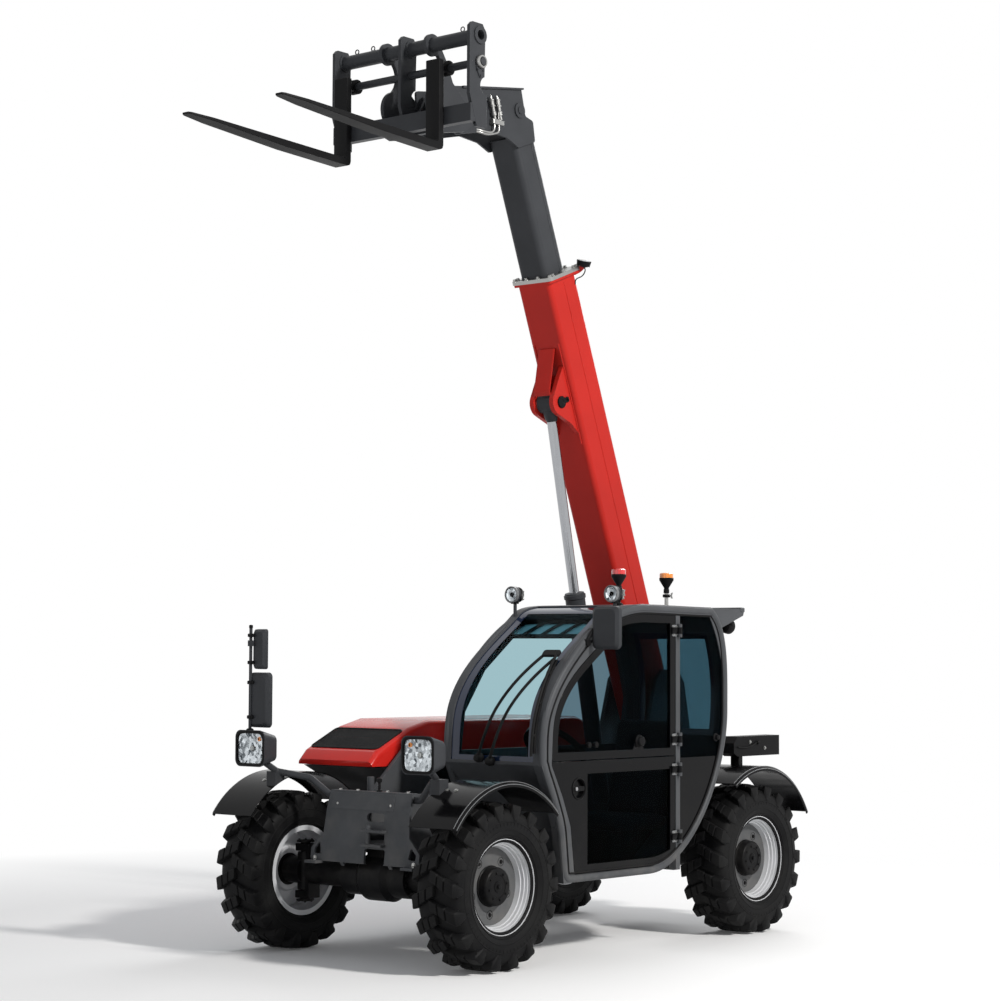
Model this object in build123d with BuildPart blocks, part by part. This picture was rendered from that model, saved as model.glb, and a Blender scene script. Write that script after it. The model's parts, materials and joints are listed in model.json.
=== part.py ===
from build123d import *
from math import cos, pi, radians, sin, tan
import os

# Compact telehandler, millimetres. +X is forward, +Y the machine's left, +Z up.
# The model is laid out from the middle of the wheelbase, at ground level, and moved
# by these two values when it is written, so that its box is centred on the origin.
origin_ahead_of_mid_wheelbase = 310
origin_left_of_centre_line = 80

# Wheels and axles
wheelbase = 2358
tyre_radius = 440
tyre_width = 300
tyre_centre_y = 730
tread_radius = 412
shoulder_radius = 398
tyre_facets = 20
lugs_a_side = 18
lug_width = 70
lug_sweep = 66
bead_radius = 232
rim_flange_radius = 257
rim_width = 244
rim_wall = 9
rim_well_radius = 206
disc_offset = 12
disc_thickness = 14
hub_radius = 96
hub_reach = 70
hub_bore = 36
stud_circle = 150
stud_radius = 14
stud_count = 5
kingpin_y = 600
kingpin_radius = 28
knuckle_radius = 74
axle_tube_radius = 72
differential_radius = 130
axle_cover_radius = 106
axle_cover_half = 235
axle_seat_z = 600
yoke_height = 150
fit = 0.3

# Boom
boom_angle = 68.9
pivot_x = -1200
pivot_z = 1450
pivot_pin_radius = 38
outer_width = 245
outer_top = 85
outer_bottom = -185
outer_wall = 9
outer_tail = -150
outer_length = 2640
inner_width = 205
inner_top = 25
inner_bottom = -170
inner_wall = 8
inner_tail = 1000
inner_reach = 3500
corner_radius = 28
inner_corner_radius = 38
end_flange_border = 24
end_flange_thickness = 14
collar_thickness = 22
collar_border = 30
collar_gap = 6
pad_width = 56

# Lift cylinder, from the chassis to the underside of the boom
lift_base_x = -780
lift_base_z = 650
lift_eye_along = 1928
lift_eye_below = -283
lift_barrel_radius = 52
lift_barrel_reach = 1395
lift_rod_radius = 30
lift_eye_radius = 58
lift_eye_width = 110
lift_lug_gap = 5
lift_lug_thickness = 30
lift_lug_radius = 62
lift_pin_radius = 26

# Boom head, tool carrier and tilt cylinder
head_plate = 14
carrier_ahead = 690
carrier_drop = 50
carrier_pin_radius = 24
tilt_base_ahead = 133
tilt_base_rise = 104
tilt_base_pin_radius = 22
tilt_arm = 140
tilt_arm_angle = 72
tilt_barrel_radius = 42
tilt_barrel_reach = 385
tilt_rod_radius = 20
tilt_rod_tail = 360
tilt_eye_radius = 38
tilt_eye_width = 56

# Fork carriage and forks
carriage_half_width = 520
carriage_plate = 22
top_tube_ahead = 267
top_tube_rise = 368
top_tube_radius = 40
top_tube_bore = 27
fork_shaft_ahead = 268
fork_shaft_rise = 219
fork_shaft_radius = 22
fork_width = 100
fork_thickness = 40
fork_length = 1220
fork_slope = 3
fork_tip_length = 170
fork_tip_half = 22
fork_heel_drop = 256
fork_left_y = 280
fork_right_y = -420
hook_half_gap = 180

# Chassis
chassis_half_width = 190
chassis_plate = 25
belly_z = 420
front_plate_half_width = 310
tow_slot_y = 65
tow_pocket_y = 75
tow_pocket_width = 150
tow_pin_radius = 13
hitch_pin_x = -1658
hitch_pin_radius = 16
hitch_jaw_gap = 66
hitch_jaw_z = 600

# Cab
cab_right = 160
cab_left = 860
cab_wall = 30
a_pillar_width = 85
roof_depth = 50
rear_rail = 30
sill_depth = 38
post_x = -355
post_width = 40
belt_z = 1064
door_gap = 5
door_thickness = 26
door_border = 46
glass_thickness = 6
hinge_y = 874
hinge_pin_radius = 7
hinge_radius = 13
hinge_half = 38
hinge_knuckle_half = 19
handle_panel_x = 480
handle_x = 557
handle_z = 926
handle_cup_radius = 56
latch_x = 18
latch_z = 1168
latch_radius = 34
lower_hinges = (620, 1000)
upper_hinges = (1170, 1790)

# Engine side
hood_right = -800
hood_left = -222
hood_wall = 14
hood_top_z = 1272
hood_bottom_z = 1022
hood_rear_x = -930
hood_front_x = 1040
grille_border = 32
grille_slats = 9
hood_hinge_x = -914
hood_hinge_z = 1006
hood_hinge_radius = 7

# Lamps and mirrors
headlamp_x = 1600
headlamp_y = 620
headlamp_z = 1130
headlamp_width = 230
headlamp_height = 200
headlamp_depth = 125
headlamp_shell = 10
work_lamp_radius = 46
beacon_radius = 45

# Fenders
fender_radius = 545
fender_thickness = 6
fender_lip = 24
fender_inner_y = 580
fender_outer_y = 900

boom_cos = cos(radians(boom_angle))
boom_sin = sin(radians(boom_angle))


def on_boom(along, above):
    """Gives x and z of a point measured along and above the boom's centre of pivot."""
    return (
        pivot_x + along * boom_cos - above * boom_sin,
        pivot_z + along * boom_sin + above * boom_cos,
    )


head_root_x, head_root_z = on_boom(inner_reach, 0)
carrier_x = head_root_x + carrier_ahead
carrier_z = head_root_z - carrier_drop
tilt_base_x = head_root_x + tilt_base_ahead
tilt_base_z = head_root_z + tilt_base_rise
top_tube_x = carrier_x + top_tube_ahead
top_tube_z = carrier_z + top_tube_rise
fork_shaft_x = carrier_x + fork_shaft_ahead
fork_shaft_z = carrier_z + fork_shaft_rise
fork_heel_z = carrier_z - fork_heel_drop


def from_head(*points):
    """Moves points measured from the end of the inner boom to their places."""
    return [(head_root_x + x, head_root_z + z) for x, z in points]


def from_carrier(*points):
    """Moves points measured from the carrier pin to their places."""
    return [(carrier_x + x, carrier_z + z) for x, z in points]


def side_plane(y):
    """Upright plane along the machine at y; its sketches are drawn in x and z."""
    return Plane.XZ.offset(-y)


def boom_plane(y):
    """The same plane turned to the boom, drawn along and above it."""
    return Plane(origin=(pivot_x, y, pivot_z), x_dir=(boom_cos, 0, boom_sin), z_dir=(0, -1, 0))


def slab(outline, left, right, plane=side_plane, mode=Mode.ADD):
    """Adds a plate of the outline, from y = left across to y = right."""
    with BuildSketch(plane(left)) as face:
        with BuildLine():
            Polyline(*outline, close=True)
        make_face()
    extrude(face.sketch, amount=left - right, mode=mode)


def rounded_slab(outline, radius, left, right, plane=side_plane, mode=Mode.ADD):
    """Adds a plate whose corners are all rounded, from y = left across to y = right."""
    with BuildSketch(plane(left)) as face:
        with BuildLine():
            FilletPolyline(*outline, radius=radius, close=True)
        make_face()
    extrude(face.sketch, amount=left - right, mode=mode)


def facing_plane(x, y, z):
    """Upright plane across the machine that looks forward; its sketches are drawn in y and z."""
    return Plane(origin=(x, y, z), x_dir=(0, 1, 0), z_dir=(1, 0, 0))


def panel(x, y, z, width, height, radius, depth, mode=Mode.ADD):
    """Adds a rounded upright panel, centred at y and z, from x backwards through its depth."""
    with BuildSketch(facing_plane(x, y, z)) as face:
        RectangleRounded(width, height, radius)
    extrude(face.sketch, amount=-depth, mode=mode)


def bar(start, end, radius, mode=Mode.ADD):
    """Adds a round bar from one point to another."""
    axis = Vector(*end) - Vector(*start)
    with BuildSketch(Plane(origin=start, z_dir=axis)) as disc:
        Circle(radius)
    extrude(disc.sketch, amount=axis.length, mode=mode)


def cross_bar(x, z, radius, left, right, mode=Mode.ADD):
    """Adds a round bar across the machine."""
    bar((x, left, z), (x, right, z), radius, mode)


def block(low, high, mode=Mode.ADD):
    """Adds a box between two corners."""
    middle = tuple((a + b) / 2 for a, b in zip(low, high))
    with Locations(middle):
        Box(high[0] - low[0], high[1] - low[1], high[2] - low[2], mode=mode)


def bent_tube(points, radius, bend):
    """Adds a tube bent through the points."""
    with BuildLine() as path:
        FilletPolyline(*points, radius=bend)
    with BuildSketch(Plane(origin=points[0], z_dir=Vector(*points[1]) - Vector(*points[0]))) as disc:
        Circle(radius)
    sweep(disc.sketch, path=path.line)


def move_in(points, inset):
    """Moves each (x, z, outward angle) point inwards by the inset."""
    return [
        (x - inset * cos(radians(angle)), z - inset * sin(radians(angle)))
        for x, z, angle in points
    ]


pieces = {}

# Chassis: two long side plates on a belly plate, a turret for the boom at the back
axle_x = wheelbase / 2
chassis_nose = [
    (1240, belly_z),
    (1300, 470),
    (1330 - fit, 518),
    (1298 - fit, 799),
    (1274 - fit, 892 - fit),
    (1100, 892 - fit),
]
chassis_hump = [(805, 1150), (714, 1160), (560, 900)]
chassis_tail = [
    (-620, 760),
    (-860, 930),
    (-940, 1100),
    (-1060, 1500),
    (-1120, 1560),
    (-1280, 1560),
    (-1350, 1480),
    (-1450, 1000),
    (-1620, 900),
    (-1620, 520),
    (-1450, belly_z),
]
with BuildPart() as chassis_frame:
    inner_half = chassis_half_width - chassis_plate
    slab(chassis_nose + [(560, 892 - fit)] + chassis_tail, chassis_half_width, inner_half)
    slab(chassis_nose + chassis_hump + chassis_tail, -inner_half, -chassis_half_width)
    block((-1450, -inner_half, belly_z), (1240, inner_half, belly_z + 12))
    block((-1620, -inner_half, 520), (-1470, inner_half, 900))
    block((1100, -inner_half, 870), (1240, inner_half, 892 - fit))
    for side in (1, -1):
        edge = side * (lift_eye_width / 2 + 1)
        low, high = sorted((edge, side * inner_half))
        slab([(-860, 432), (-700, 432), (-720, 700), (-840, 700)], high, low)
    cross_bar(lift_base_x, lift_base_z, lift_pin_radius, inner_half, -inner_half)
    for low in (hitch_jaw_z, hitch_jaw_z + hitch_jaw_gap + 16):
        with BuildSketch(Plane.XY.offset(low)) as jaw:
            with Locations((-1640, 0)):
                RectangleRounded(110, 120, 40)
        extrude(jaw.sketch, amount=16)
    bar(
        (hitch_pin_x, 0, hitch_jaw_z - 1),
        (hitch_pin_x, 0, hitch_jaw_z + 120),
        hitch_pin_radius,
        mode=Mode.SUBTRACT,
    )
    bar((1130, -150, 880), (1130, -150, 975), 20)
    for x in (axle_x, -axle_x):
        cross_bar(x, tyre_radius, differential_radius + 20, 400, -400, mode=Mode.SUBTRACT)
        block((x - 130, -inner_half, axle_seat_z), (x + 110, inner_half, axle_seat_z + 25))
    cross_bar(pivot_x, pivot_z, pivot_pin_radius + fit, 400, -400, mode=Mode.SUBTRACT)
pieces["chassis_frame"] = chassis_frame

# Pin that the boom turns on
with BuildPart() as boom_pin:
    cross_bar(pivot_x, pivot_z, pivot_pin_radius, chassis_half_width + 14, -chassis_half_width - 14)
pieces["boom_pin"] = boom_pin

# Front plate: one bent sheet across the nose of the chassis, with a tow pocket
front_profile = [
    (1241, 892),
    (1241, 906),
    (1285, 906),
    (1312, 800),
    (1344, 520),
    (1330, 518),
    (1298, 799),
    (1274, 892),
]
front_outline = [
    (-300, 930),
    (300, 930),
    (310, 760),
    (318, 670),
    (400, 590),
    (400, 530),
    (330, 490),
    (-330, 490),
    (-400, 530),
    (-400, 590),
    (-318, 670),
    (-310, 760),
]
with BuildPart() as front_plate:
    slab(front_profile, front_plate_half_width + 90, -front_plate_half_width - 90)
    with BuildSketch(Plane.YZ.offset(1200)) as front_view:
        with BuildLine():
            FilletPolyline(*front_outline, radius=18, close=True)
        make_face()
    extrude(front_view.sketch, amount=200, mode=Mode.INTERSECT)
    slab([(1288, 894), (1292, 894), (1314, 808), (1310, 808)], 185, -275)
    panel(1400, tow_slot_y, 770, 130, 48, 22, 150, mode=Mode.SUBTRACT)
    panel(1400, tow_pocket_y, 660, tow_pocket_width - 24, 52, 8, 150, mode=Mode.SUBTRACT)
    panel(1400, tow_pocket_y, 560, tow_pocket_width, 84, 14, 150, mode=Mode.SUBTRACT)
    for side in (1, -1):
        with BuildSketch(facing_plane(1400, side * 345, 585)) as gap:
            with BuildLine():
                FilletPolyline((side * 28, -30), (side * 30, 0), (-side * 10, 42), (-side * 24, -26), radius=9, close=True)
            make_face()
        extrude(gap.sketch, amount=-150, mode=Mode.SUBTRACT)
        low, high = sorted((side * 312, side * 398))
        block((1332, low, 508), (1392, high, 522))
    for z in (694, 616):
        low, high = tow_pocket_y - tow_pocket_width / 2, tow_pocket_y + tow_pocket_width / 2
        block((1312, low, z), (1372, high, z + 12))
    bar((1356, tow_pocket_y - 30, 610), (1356, tow_pocket_y - 30, 730), tow_pin_radius)
pieces["front_plate"] = front_plate


def make_axle(x):
    """Axle beam with a differential in the middle and a yoke for each kingpin."""
    with BuildPart() as axle:
        cross_bar(x, tyre_radius, axle_tube_radius, kingpin_y - 60, -kingpin_y + 60)
        cross_bar(x, tyre_radius, axle_cover_radius, axle_cover_half, -axle_cover_half)
        with BuildSketch(facing_plane(x, 0, tyre_radius)) as half:
            with BuildLine():
                Polyline((-150, 0), (-150, 80), (-80, differential_radius), (80, differential_radius))
                Polyline((80, differential_radius), (150, 80), (150, 0), (-150, 0))
            make_face()
        revolve(half.sketch, axis=Axis((x, 0, tyre_radius), (0, 1, 0)))
        block((x - 70, -60, tyre_radius + 60), (x + 70, 60, axle_seat_z - fit))
        for side in (1, -1):
            inner, outer = side * (kingpin_y - 70), side * (kingpin_y + 34)
            low_y, high_y = sorted((inner, outer))
            block((x - 45, low_y, tyre_radius - yoke_height), (x + 45, high_y, tyre_radius + yoke_height))
            gap_low, gap_high = sorted((side * (kingpin_y - 46), side * (kingpin_y + 60)))
            block((x - 60, gap_low, tyre_radius - 110), (x + 60, gap_high, tyre_radius + 110), mode=Mode.SUBTRACT)
            bar(
                (x, side * kingpin_y, tyre_radius - yoke_height - 1),
                (x, side * kingpin_y, tyre_radius + yoke_height + 1),
                kingpin_radius + fit,
                mode=Mode.SUBTRACT,
            )
    return axle


front_axle = make_axle(axle_x)
pieces["front_axle"] = front_axle
rear_axle = make_axle(-axle_x)
pieces["rear_axle"] = rear_axle


def make_knuckle(x, side):
    """Steering knuckle: kingpin, body and the stub that carries the hub."""
    with BuildPart() as knuckle:
        bar(
            (x, side * kingpin_y, tyre_radius - yoke_height - 12),
            (x, side * kingpin_y, tyre_radius + yoke_height + 12),
            kingpin_radius,
        )
        bar((x, side * kingpin_y, tyre_radius - 104), (x, side * kingpin_y, tyre_radius + 104), 44)
        bar(
            (x, side * (kingpin_y - 10), tyre_radius),
            (x, side * (tyre_centre_y + disc_offset - 26), tyre_radius),
            knuckle_radius,
        )
        bar(
            (x, side * (kingpin_y - 10), tyre_radius),
            (x, side * (tyre_centre_y + disc_offset + 20), tyre_radius),
            hub_bore - fit,
        )
    return knuckle


def wheel_plane(x, side):
    """Plane through a wheel's axis, drawn outwards along it and up its radius."""
    return Plane(origin=(x, side * tyre_centre_y, tyre_radius), x_dir=(0, side, 0), z_dir=(side, 0, 0))


def wheel_axis(x, side):
    return Axis((x, side * tyre_centre_y, tyre_radius), (0, 1, 0))


def faceted_ring(outline):
    """Ring of flat facets about the Y axis, from its closed outline in y and radius."""
    step = 2 * pi / tyre_facets
    faces = []
    for (y, radius), (next_y, next_radius) in zip(outline, outline[1:] + outline[:1]):
        for facet in range(tyre_facets):
            low, high = facet * step, (facet + 1) * step
            corners = [
                (radius * sin(low), y, radius * cos(low)),
                (radius * sin(high), y, radius * cos(high)),
                (next_radius * sin(high), next_y, next_radius * cos(high)),
                (next_radius * sin(low), next_y, next_radius * cos(low)),
            ]
            faces.append(Face(Wire.make_polygon(corners)))
    return Solid(Shell(faces))


def make_tyre():
    """Tyre about its own centre: a carcass on its beads, with two rows of fused lugs."""
    half = tyre_width / 2
    bead_half = rim_width / 2 - rim_wall - 7
    bore = bead_radius / cos(pi / tyre_facets)
    flank = [
        (bead_half, bore),
        (bead_half + 3, rim_flange_radius + 6),
        (half - 4, 325),
        (half - 16, shoulder_radius),
    ]
    other_flank = [(-y, radius) for y, radius in reversed(flank)]
    with BuildPart() as lug:
        with BuildSketch(Plane.XY.offset(tread_radius - 40)) as foot:
            with BuildLine():
                Polyline(
                    (lug_width / 2 - 8, -6),
                    (lug_width / 2 - lug_sweep, half),
                    (-lug_width / 2 - lug_sweep, half),
                    (8 - lug_width / 2, -6),
                    close=True,
                )
            make_face()
        extrude(amount=tyre_radius - tread_radius + 50)
        envelope = [
            (-60, 330),
            (-60, tyre_radius),
            (half - 3, tyre_radius),
            (half - 3, 330),
        ]
        add(faceted_ring(envelope), mode=Mode.INTERSECT)
    pitch = 360 / lugs_a_side
    left_row = [lug.part.rotate(Axis.Y, pitch * step) for step in range(lugs_a_side)]
    right_lug = mirror(lug.part, about=Plane.XZ)
    right_row = [right_lug.rotate(Axis.Y, pitch * (step + 0.5)) for step in range(lugs_a_side)]
    with BuildPart() as tyre:
        add(faceted_ring(other_flank + flank))
        add(left_row + right_row)
    return tyre.part


def make_rim(x, side):
    """Drop-centre rim with its disc and the hub of the final drive."""
    half = rim_width / 2
    seat = bead_radius - fit
    with BuildPart() as rim:
        with BuildSketch(wheel_plane(x, side)) as section:
            with BuildLine():
                Polyline(
                    (-half, rim_flange_radius),
                    (-half + rim_wall, rim_flange_radius),
                    (-half + rim_wall + 4, seat),
                    (-50, seat - 4),
                    (-38, rim_well_radius + rim_wall),
                    (38, rim_well_radius + rim_wall),
                    (50, seat - 4),
                    (half - rim_wall - 4, seat),
                    (half - rim_wall, rim_flange_radius),
                    (half, rim_flange_radius),
                    (half, seat - rim_wall),
                    (54, seat - rim_wall - 5),
                    (42, rim_well_radius),
                    (disc_offset + disc_thickness, rim_well_radius),
                    (disc_offset + disc_thickness, hub_radius),
                    (disc_offset + hub_reach, hub_radius - 4),
                    (disc_offset + hub_reach + 6, hub_radius - 12),
                    (disc_offset + hub_reach + 6, 0),
                    (disc_offset + 22, 0),
                    (disc_offset + 22, hub_bore),
                    (disc_offset - 10, hub_bore),
                    (disc_offset - 10, hub_radius + 20),
                    (disc_offset, hub_radius + 30),
                    (disc_offset, rim_well_radius),
                    (-42, rim_well_radius),
                    (-54, seat - rim_wall - 5),
                    (-half, seat - rim_wall),
                    close=True,
                )
            make_face()
        revolve(section.sketch, axis=wheel_axis(x, side))
        for stud in range(stud_count):
            angle = 2 * pi * (stud + 0.5) / stud_count
            stud_x = x + stud_circle * cos(angle)
            stud_z = tyre_radius + stud_circle * sin(angle)
            disc_y = side * (tyre_centre_y + disc_offset)
            cross_bar(stud_x, stud_z, stud_radius, disc_y - 60, disc_y + 60, mode=Mode.SUBTRACT)
    return rim


left_tyre = make_tyre()
right_tyre = mirror(left_tyre, about=Plane.XZ)
for end, x in (("front", axle_x), ("rear", -axle_x)):
    for hand, side, tyre_model in (("left", 1, left_tyre), ("right", -1, right_tyre)):
        pieces[f"knuckle_{end}_{hand}"] = make_knuckle(x, side)
        with BuildPart() as tyre:
            add(tyre_model.moved(Location((x, side * tyre_centre_y, tyre_radius))))
        pieces[f"tyre_{end}_{hand}"] = tyre
        pieces[f"rim_{end}_{hand}"] = make_rim(x, side)


def fender_arc(x, side, start_angle, sweep_angle):
    """Adds one mudguard: a bent sheet round the wheel with a lip on its outer edge."""
    start = radians(start_angle)
    radial = (cos(start), 0, sin(start))
    plane = Plane(
        origin=(x, 0, tyre_radius),
        x_dir=(0, 1, 0),
        z_dir=Vector(0, 1, 0).cross(Vector(*radial)),
    )
    rim_edge = side * fender_outer_y
    inner_edge = side * fender_inner_y
    with BuildSketch(plane) as section:
        with BuildLine():
            Polyline(
                (inner_edge, fender_radius),
                (inner_edge, fender_radius + fender_thickness),
                (rim_edge - side * 14, fender_radius + fender_thickness),
                (rim_edge, fender_radius - 8),
                (rim_edge, fender_radius - fender_lip),
                (rim_edge - side * fender_thickness, fender_radius - fender_lip),
                (rim_edge - side * fender_thickness, fender_radius - 10),
                (rim_edge - side * 17, fender_radius),
                close=True,
            )
        make_face()
    revolve(section.sketch, axis=Axis((x, 0, tyre_radius), (0, 1, 0)), revolution_arc=sweep_angle)


def fender_clear(x, side):
    """Cuts a bracket back to the top of the mudguard that it carries."""
    cut_radius = fender_radius + fender_thickness + fit
    ends = sorted((side * (fender_inner_y - 12), side * (fender_outer_y + 20)))
    cross_bar(x, tyre_radius, cut_radius, ends[1], ends[0], mode=Mode.SUBTRACT)


with BuildPart() as front_fenders:
    for side in (1, -1):
        fender_arc(axle_x, side, 138, 102)
pieces["front_fenders"] = front_fenders

with BuildPart() as rear_fenders:
    for side in (1, -1):
        fender_arc(-axle_x, side, 152, 96)
pieces["rear_fenders"] = rear_fenders

# Cab outline, seen from the left, as points with their outward angles
cab_front = [(880, 1060, 0), (850, 1340, 22), (670, 1600, 45), (328, 1850, 65), (-47, 1935, 90)]
cab_rear = [(-694, 1927, 120), (-850, 1337, 180), (-652, 780, 215), (-94, 425, 270)]
cab_foot = [(640, 425), (640, 700), (790, 960)]
side_foot = [(689, 425), (724, 728), (793, 889)]


def cab_face(y, front, roof, rear, sill, foot, foot_inset):
    """Outline of the cab at y, moved inwards by its own amount at each side."""
    front_points = move_in(cab_front, front)
    front_points[-1] = (cab_front[-1][0], cab_front[-1][1] - roof)
    rear_points = move_in(cab_rear, rear)
    rear_points[0] = (cab_rear[0][0] + rear * 0.8, cab_rear[0][1] - roof)
    rear_points[-1] = (cab_rear[-1][0], cab_rear[-1][1] + sill)
    foot_points = [(x - foot_inset, max(z, cab_rear[-1][1] + sill)) for x, z in foot]
    with BuildSketch(side_plane(y)) as face:
        with BuildLine():
            Spline(*front_points, tangents=[(-0.1, 1), (-1, 0.02)])
            Line(front_points[-1], rear_points[0])
            Spline(*rear_points)
            Polyline(rear_points[-1], *foot_points, front_points[0])
        make_face()
    return face.sketch


def door_face(y, inset, low, high, back):
    """Part of the door opening between two heights, moved inwards."""
    opening = cab_face(y, a_pillar_width + inset, roof_depth + inset, rear_rail, sill_depth + inset, side_foot, 92 + inset)
    with BuildSketch(side_plane(y)) as face:
        add(opening)
        with Locations(((back + inset + 1000) / 2, (low + high) / 2)):
            Rectangle(1000 - back - inset, high - low, mode=Mode.INTERSECT)
    return face.sketch


post_front = post_x + post_width / 2
post_back = post_x - post_width / 2
with BuildPart() as cab_frame:
    extrude(cab_face(800, 0, 0, 0, 0, cab_foot, 0), amount=800 - cab_right)
    extrude(cab_face(cab_left, 0, 0, 0, 0, side_foot, 0), amount=cab_left - 800)
    extrude(
        cab_face(800, 45, roof_depth, rear_rail, sill_depth, cab_foot, 25),
        amount=800 - cab_right - cab_wall,
        mode=Mode.SUBTRACT,
    )
    extrude(
        cab_face(cab_left + 1, a_pillar_width, roof_depth, rear_rail, sill_depth, side_foot, 92),
        amount=cab_left + 1 - 799,
        mode=Mode.SUBTRACT,
    )
    block((120, cab_right + 50, 1075), (1000, 800, 2000), mode=Mode.SUBTRACT)
    block((-1000, cab_right + 70, 1180), (-700, 790, 1780), mode=Mode.SUBTRACT)
    slab(
        [(760, 1120), (730, 1330), (560, 1560), (300, 1750), (-640, 1800), (-760, 1400), (-720, 1120)],
        cab_right + cab_wall + 1,
        cab_right - 1,
        mode=Mode.SUBTRACT,
    )
    block((-1000, cab_right - 1, 0), (1000, chassis_half_width + fit, 950), mode=Mode.SUBTRACT)
    block((post_back, cab_left - 50, 430), (post_front, cab_left, 1900))
    slab([(-640, 1927), (-1060, 1925), (-1045, 1885), (-790, 1800), (-700, 1880)], cab_left - 20, cab_right + 20)
    for z in lower_hinges + upper_hinges:
        bar((post_x, hinge_y, z - hinge_half), (post_x, hinge_y, z + hinge_half), hinge_pin_radius)
        for end in (z - hinge_half, z + hinge_knuckle_half + fit):
            length = hinge_half - hinge_knuckle_half - fit
            bar((post_x, hinge_y, end), (post_x, hinge_y, end + length), hinge_radius)
            block((post_x - 12, cab_left - 2, end), (post_x + 12, hinge_y, end + length))
pieces["cab_frame"] = cab_frame

# Glass: windscreen with the roof light above it in one bent pane, and the fixed windows
with BuildPart() as windshield:
    extrude(cab_face(800 - 2, 8, 8, 8, 8, cab_foot, 0), amount=800 - cab_right - 54)
    extrude(
        cab_face(800, 8 + glass_thickness, 8 + glass_thickness, 20, 20, cab_foot, 30),
        amount=800 - cab_right,
        mode=Mode.SUBTRACT,
    )
    block((-1200, 0, 0), (1200, 1000, 1075 + fit), mode=Mode.SUBTRACT)
    block((-1200, 0, 1000), (120 + fit, 1000, 2100), mode=Mode.SUBTRACT)
pieces["windshield"] = windshield

with BuildPart() as cab_windows:
    slab(
        [(758, 1122), (728, 1329), (559, 1558), (299, 1748), (-638, 1798), (-758, 1400), (-718, 1122)],
        cab_right + 18,
        cab_right + 18 - glass_thickness,
    )
    extrude(cab_face(788, 0, 0, 12, 0, cab_foot, 0), amount=788 - cab_right - 72)
    extrude(cab_face(790, 0, 0, 12 + glass_thickness, 0, cab_foot, 0), amount=640, mode=Mode.SUBTRACT)
    block((-600, 200, 0), (1000, 790, 2000), mode=Mode.SUBTRACT)
    block((-1000, 200, 0), (1000, 789, 1180 + fit), mode=Mode.SUBTRACT)
    block((-1000, 200, 1780 - fit), (1000, 789, 2100), mode=Mode.SUBTRACT)
pieces["cab_windows"] = cab_windows


def quarter_face(y, low, high):
    """Space between the door post and the curved rear rail."""
    opening = cab_face(y, a_pillar_width, roof_depth + fit, rear_rail + fit, sill_depth + fit, side_foot, 92)
    with BuildSketch(side_plane(y)) as face:
        add(opening)
        with Locations(((post_back - fit - 1000) / 2, (low + high) / 2)):
            Rectangle(1000 + post_back - fit, high - low, mode=Mode.INTERSECT)
    return face.sketch


with BuildPart() as quarter_window:
    extrude(quarter_face(cab_left - 6, belt_z, 2000), amount=glass_thickness)
pieces["quarter_window"] = quarter_window

with BuildPart() as quarter_panel:
    extrude(quarter_face(cab_left - 4, 300, belt_z - fit), amount=20)
pieces["quarter_panel"] = quarter_panel

door_face_y = cab_left - 2
door_back = post_front


def door_hinge(z):
    """Adds the moving half of a door hinge: a knuckle and its leaf."""
    low, high = z - hinge_knuckle_half, z + hinge_knuckle_half
    bar((post_x, hinge_y, low), (post_x, hinge_y, high), hinge_radius)
    block((post_x, hinge_y - 10, low), (post_x + 66, hinge_y - 3, high))
    block((post_x + 30, door_face_y - 2, low), (post_x + 66, hinge_y - 5, high))
    bar((post_x, hinge_y, low - 1), (post_x, hinge_y, high + 1), hinge_pin_radius + fit, mode=Mode.SUBTRACT)


with BuildPart() as door_lower:
    extrude(door_face(door_face_y, door_gap, 300, belt_z + 10, door_back), amount=door_thickness)
    extrude(
        door_face(door_face_y + 1, door_gap + door_border, 300, belt_z - 60, door_back),
        amount=door_thickness + 2,
        mode=Mode.SUBTRACT,
    )
    extrude(door_face(door_face_y, door_gap, 300, belt_z + 10, handle_panel_x - door_gap), amount=door_thickness)
    cross_bar(handle_x, handle_z, handle_cup_radius, door_face_y + 1, door_face_y - 18, mode=Mode.SUBTRACT)
    for z in lower_hinges:
        door_hinge(z)
pieces["door_lower"] = door_lower

with BuildPart() as door_lower_glass:
    extrude(
        door_face(door_face_y - 9, door_gap + door_border + fit, 300, belt_z - 60 - fit, door_back),
        amount=glass_thickness,
    )
    block((handle_panel_x - fit, cab_left - 50, 300), (1000, cab_left + 50, belt_z), mode=Mode.SUBTRACT)
pieces["door_lower_glass"] = door_lower_glass

with BuildPart() as door_upper:
    extrude(door_face(door_face_y, door_gap, belt_z + 16, 2000, door_back), amount=door_thickness)
    extrude(
        door_face(door_face_y + 1, door_gap + door_border, belt_z + 60, 2000, door_back),
        amount=door_thickness + 2,
        mode=Mode.SUBTRACT,
    )
    cross_bar(latch_x, latch_z, latch_radius, door_face_y + 4, door_face_y - 8.7)
    slab(
        [
            (latch_x - 60, belt_z + 40),
            (latch_x + 60, belt_z + 40),
            (latch_x + latch_radius - 4, latch_z),
            (latch_x - latch_radius + 4, latch_z),
        ],
        door_face_y,
        door_face_y - 8.7,
    )
    for z in upper_hinges:
        door_hinge(z)
pieces["door_upper"] = door_upper

with BuildPart() as door_upper_glass:
    extrude(
        door_face(door_face_y - 9, door_gap + door_border + fit, belt_z + 60 + fit, 2000, door_back),
        amount=glass_thickness,
    )
pieces["door_upper_glass"] = door_upper_glass

floor_z = cab_rear[-1][1] + sill_depth

# Seat on its base, and the console with the steering wheel
with BuildPart() as seat:
    slab(
        [(60, floor_z + fit), (-90, floor_z + fit), (-330, 640), (-330, 660), (60, 660)],
        700,
        330,
    )
    slab(
        [(-440, 660), (60, 660), (85, 700), (60, 750), (-380, 735), (-440, 720)],
        755,
        275,
    )
    slab(
        [(-500, 690), (-380, 700), (-450, 1000), (-510, 1290), (-590, 1290), (-600, 1240), (-560, 980)],
        740,
        290,
    )
pieces["seat"] = seat

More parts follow.
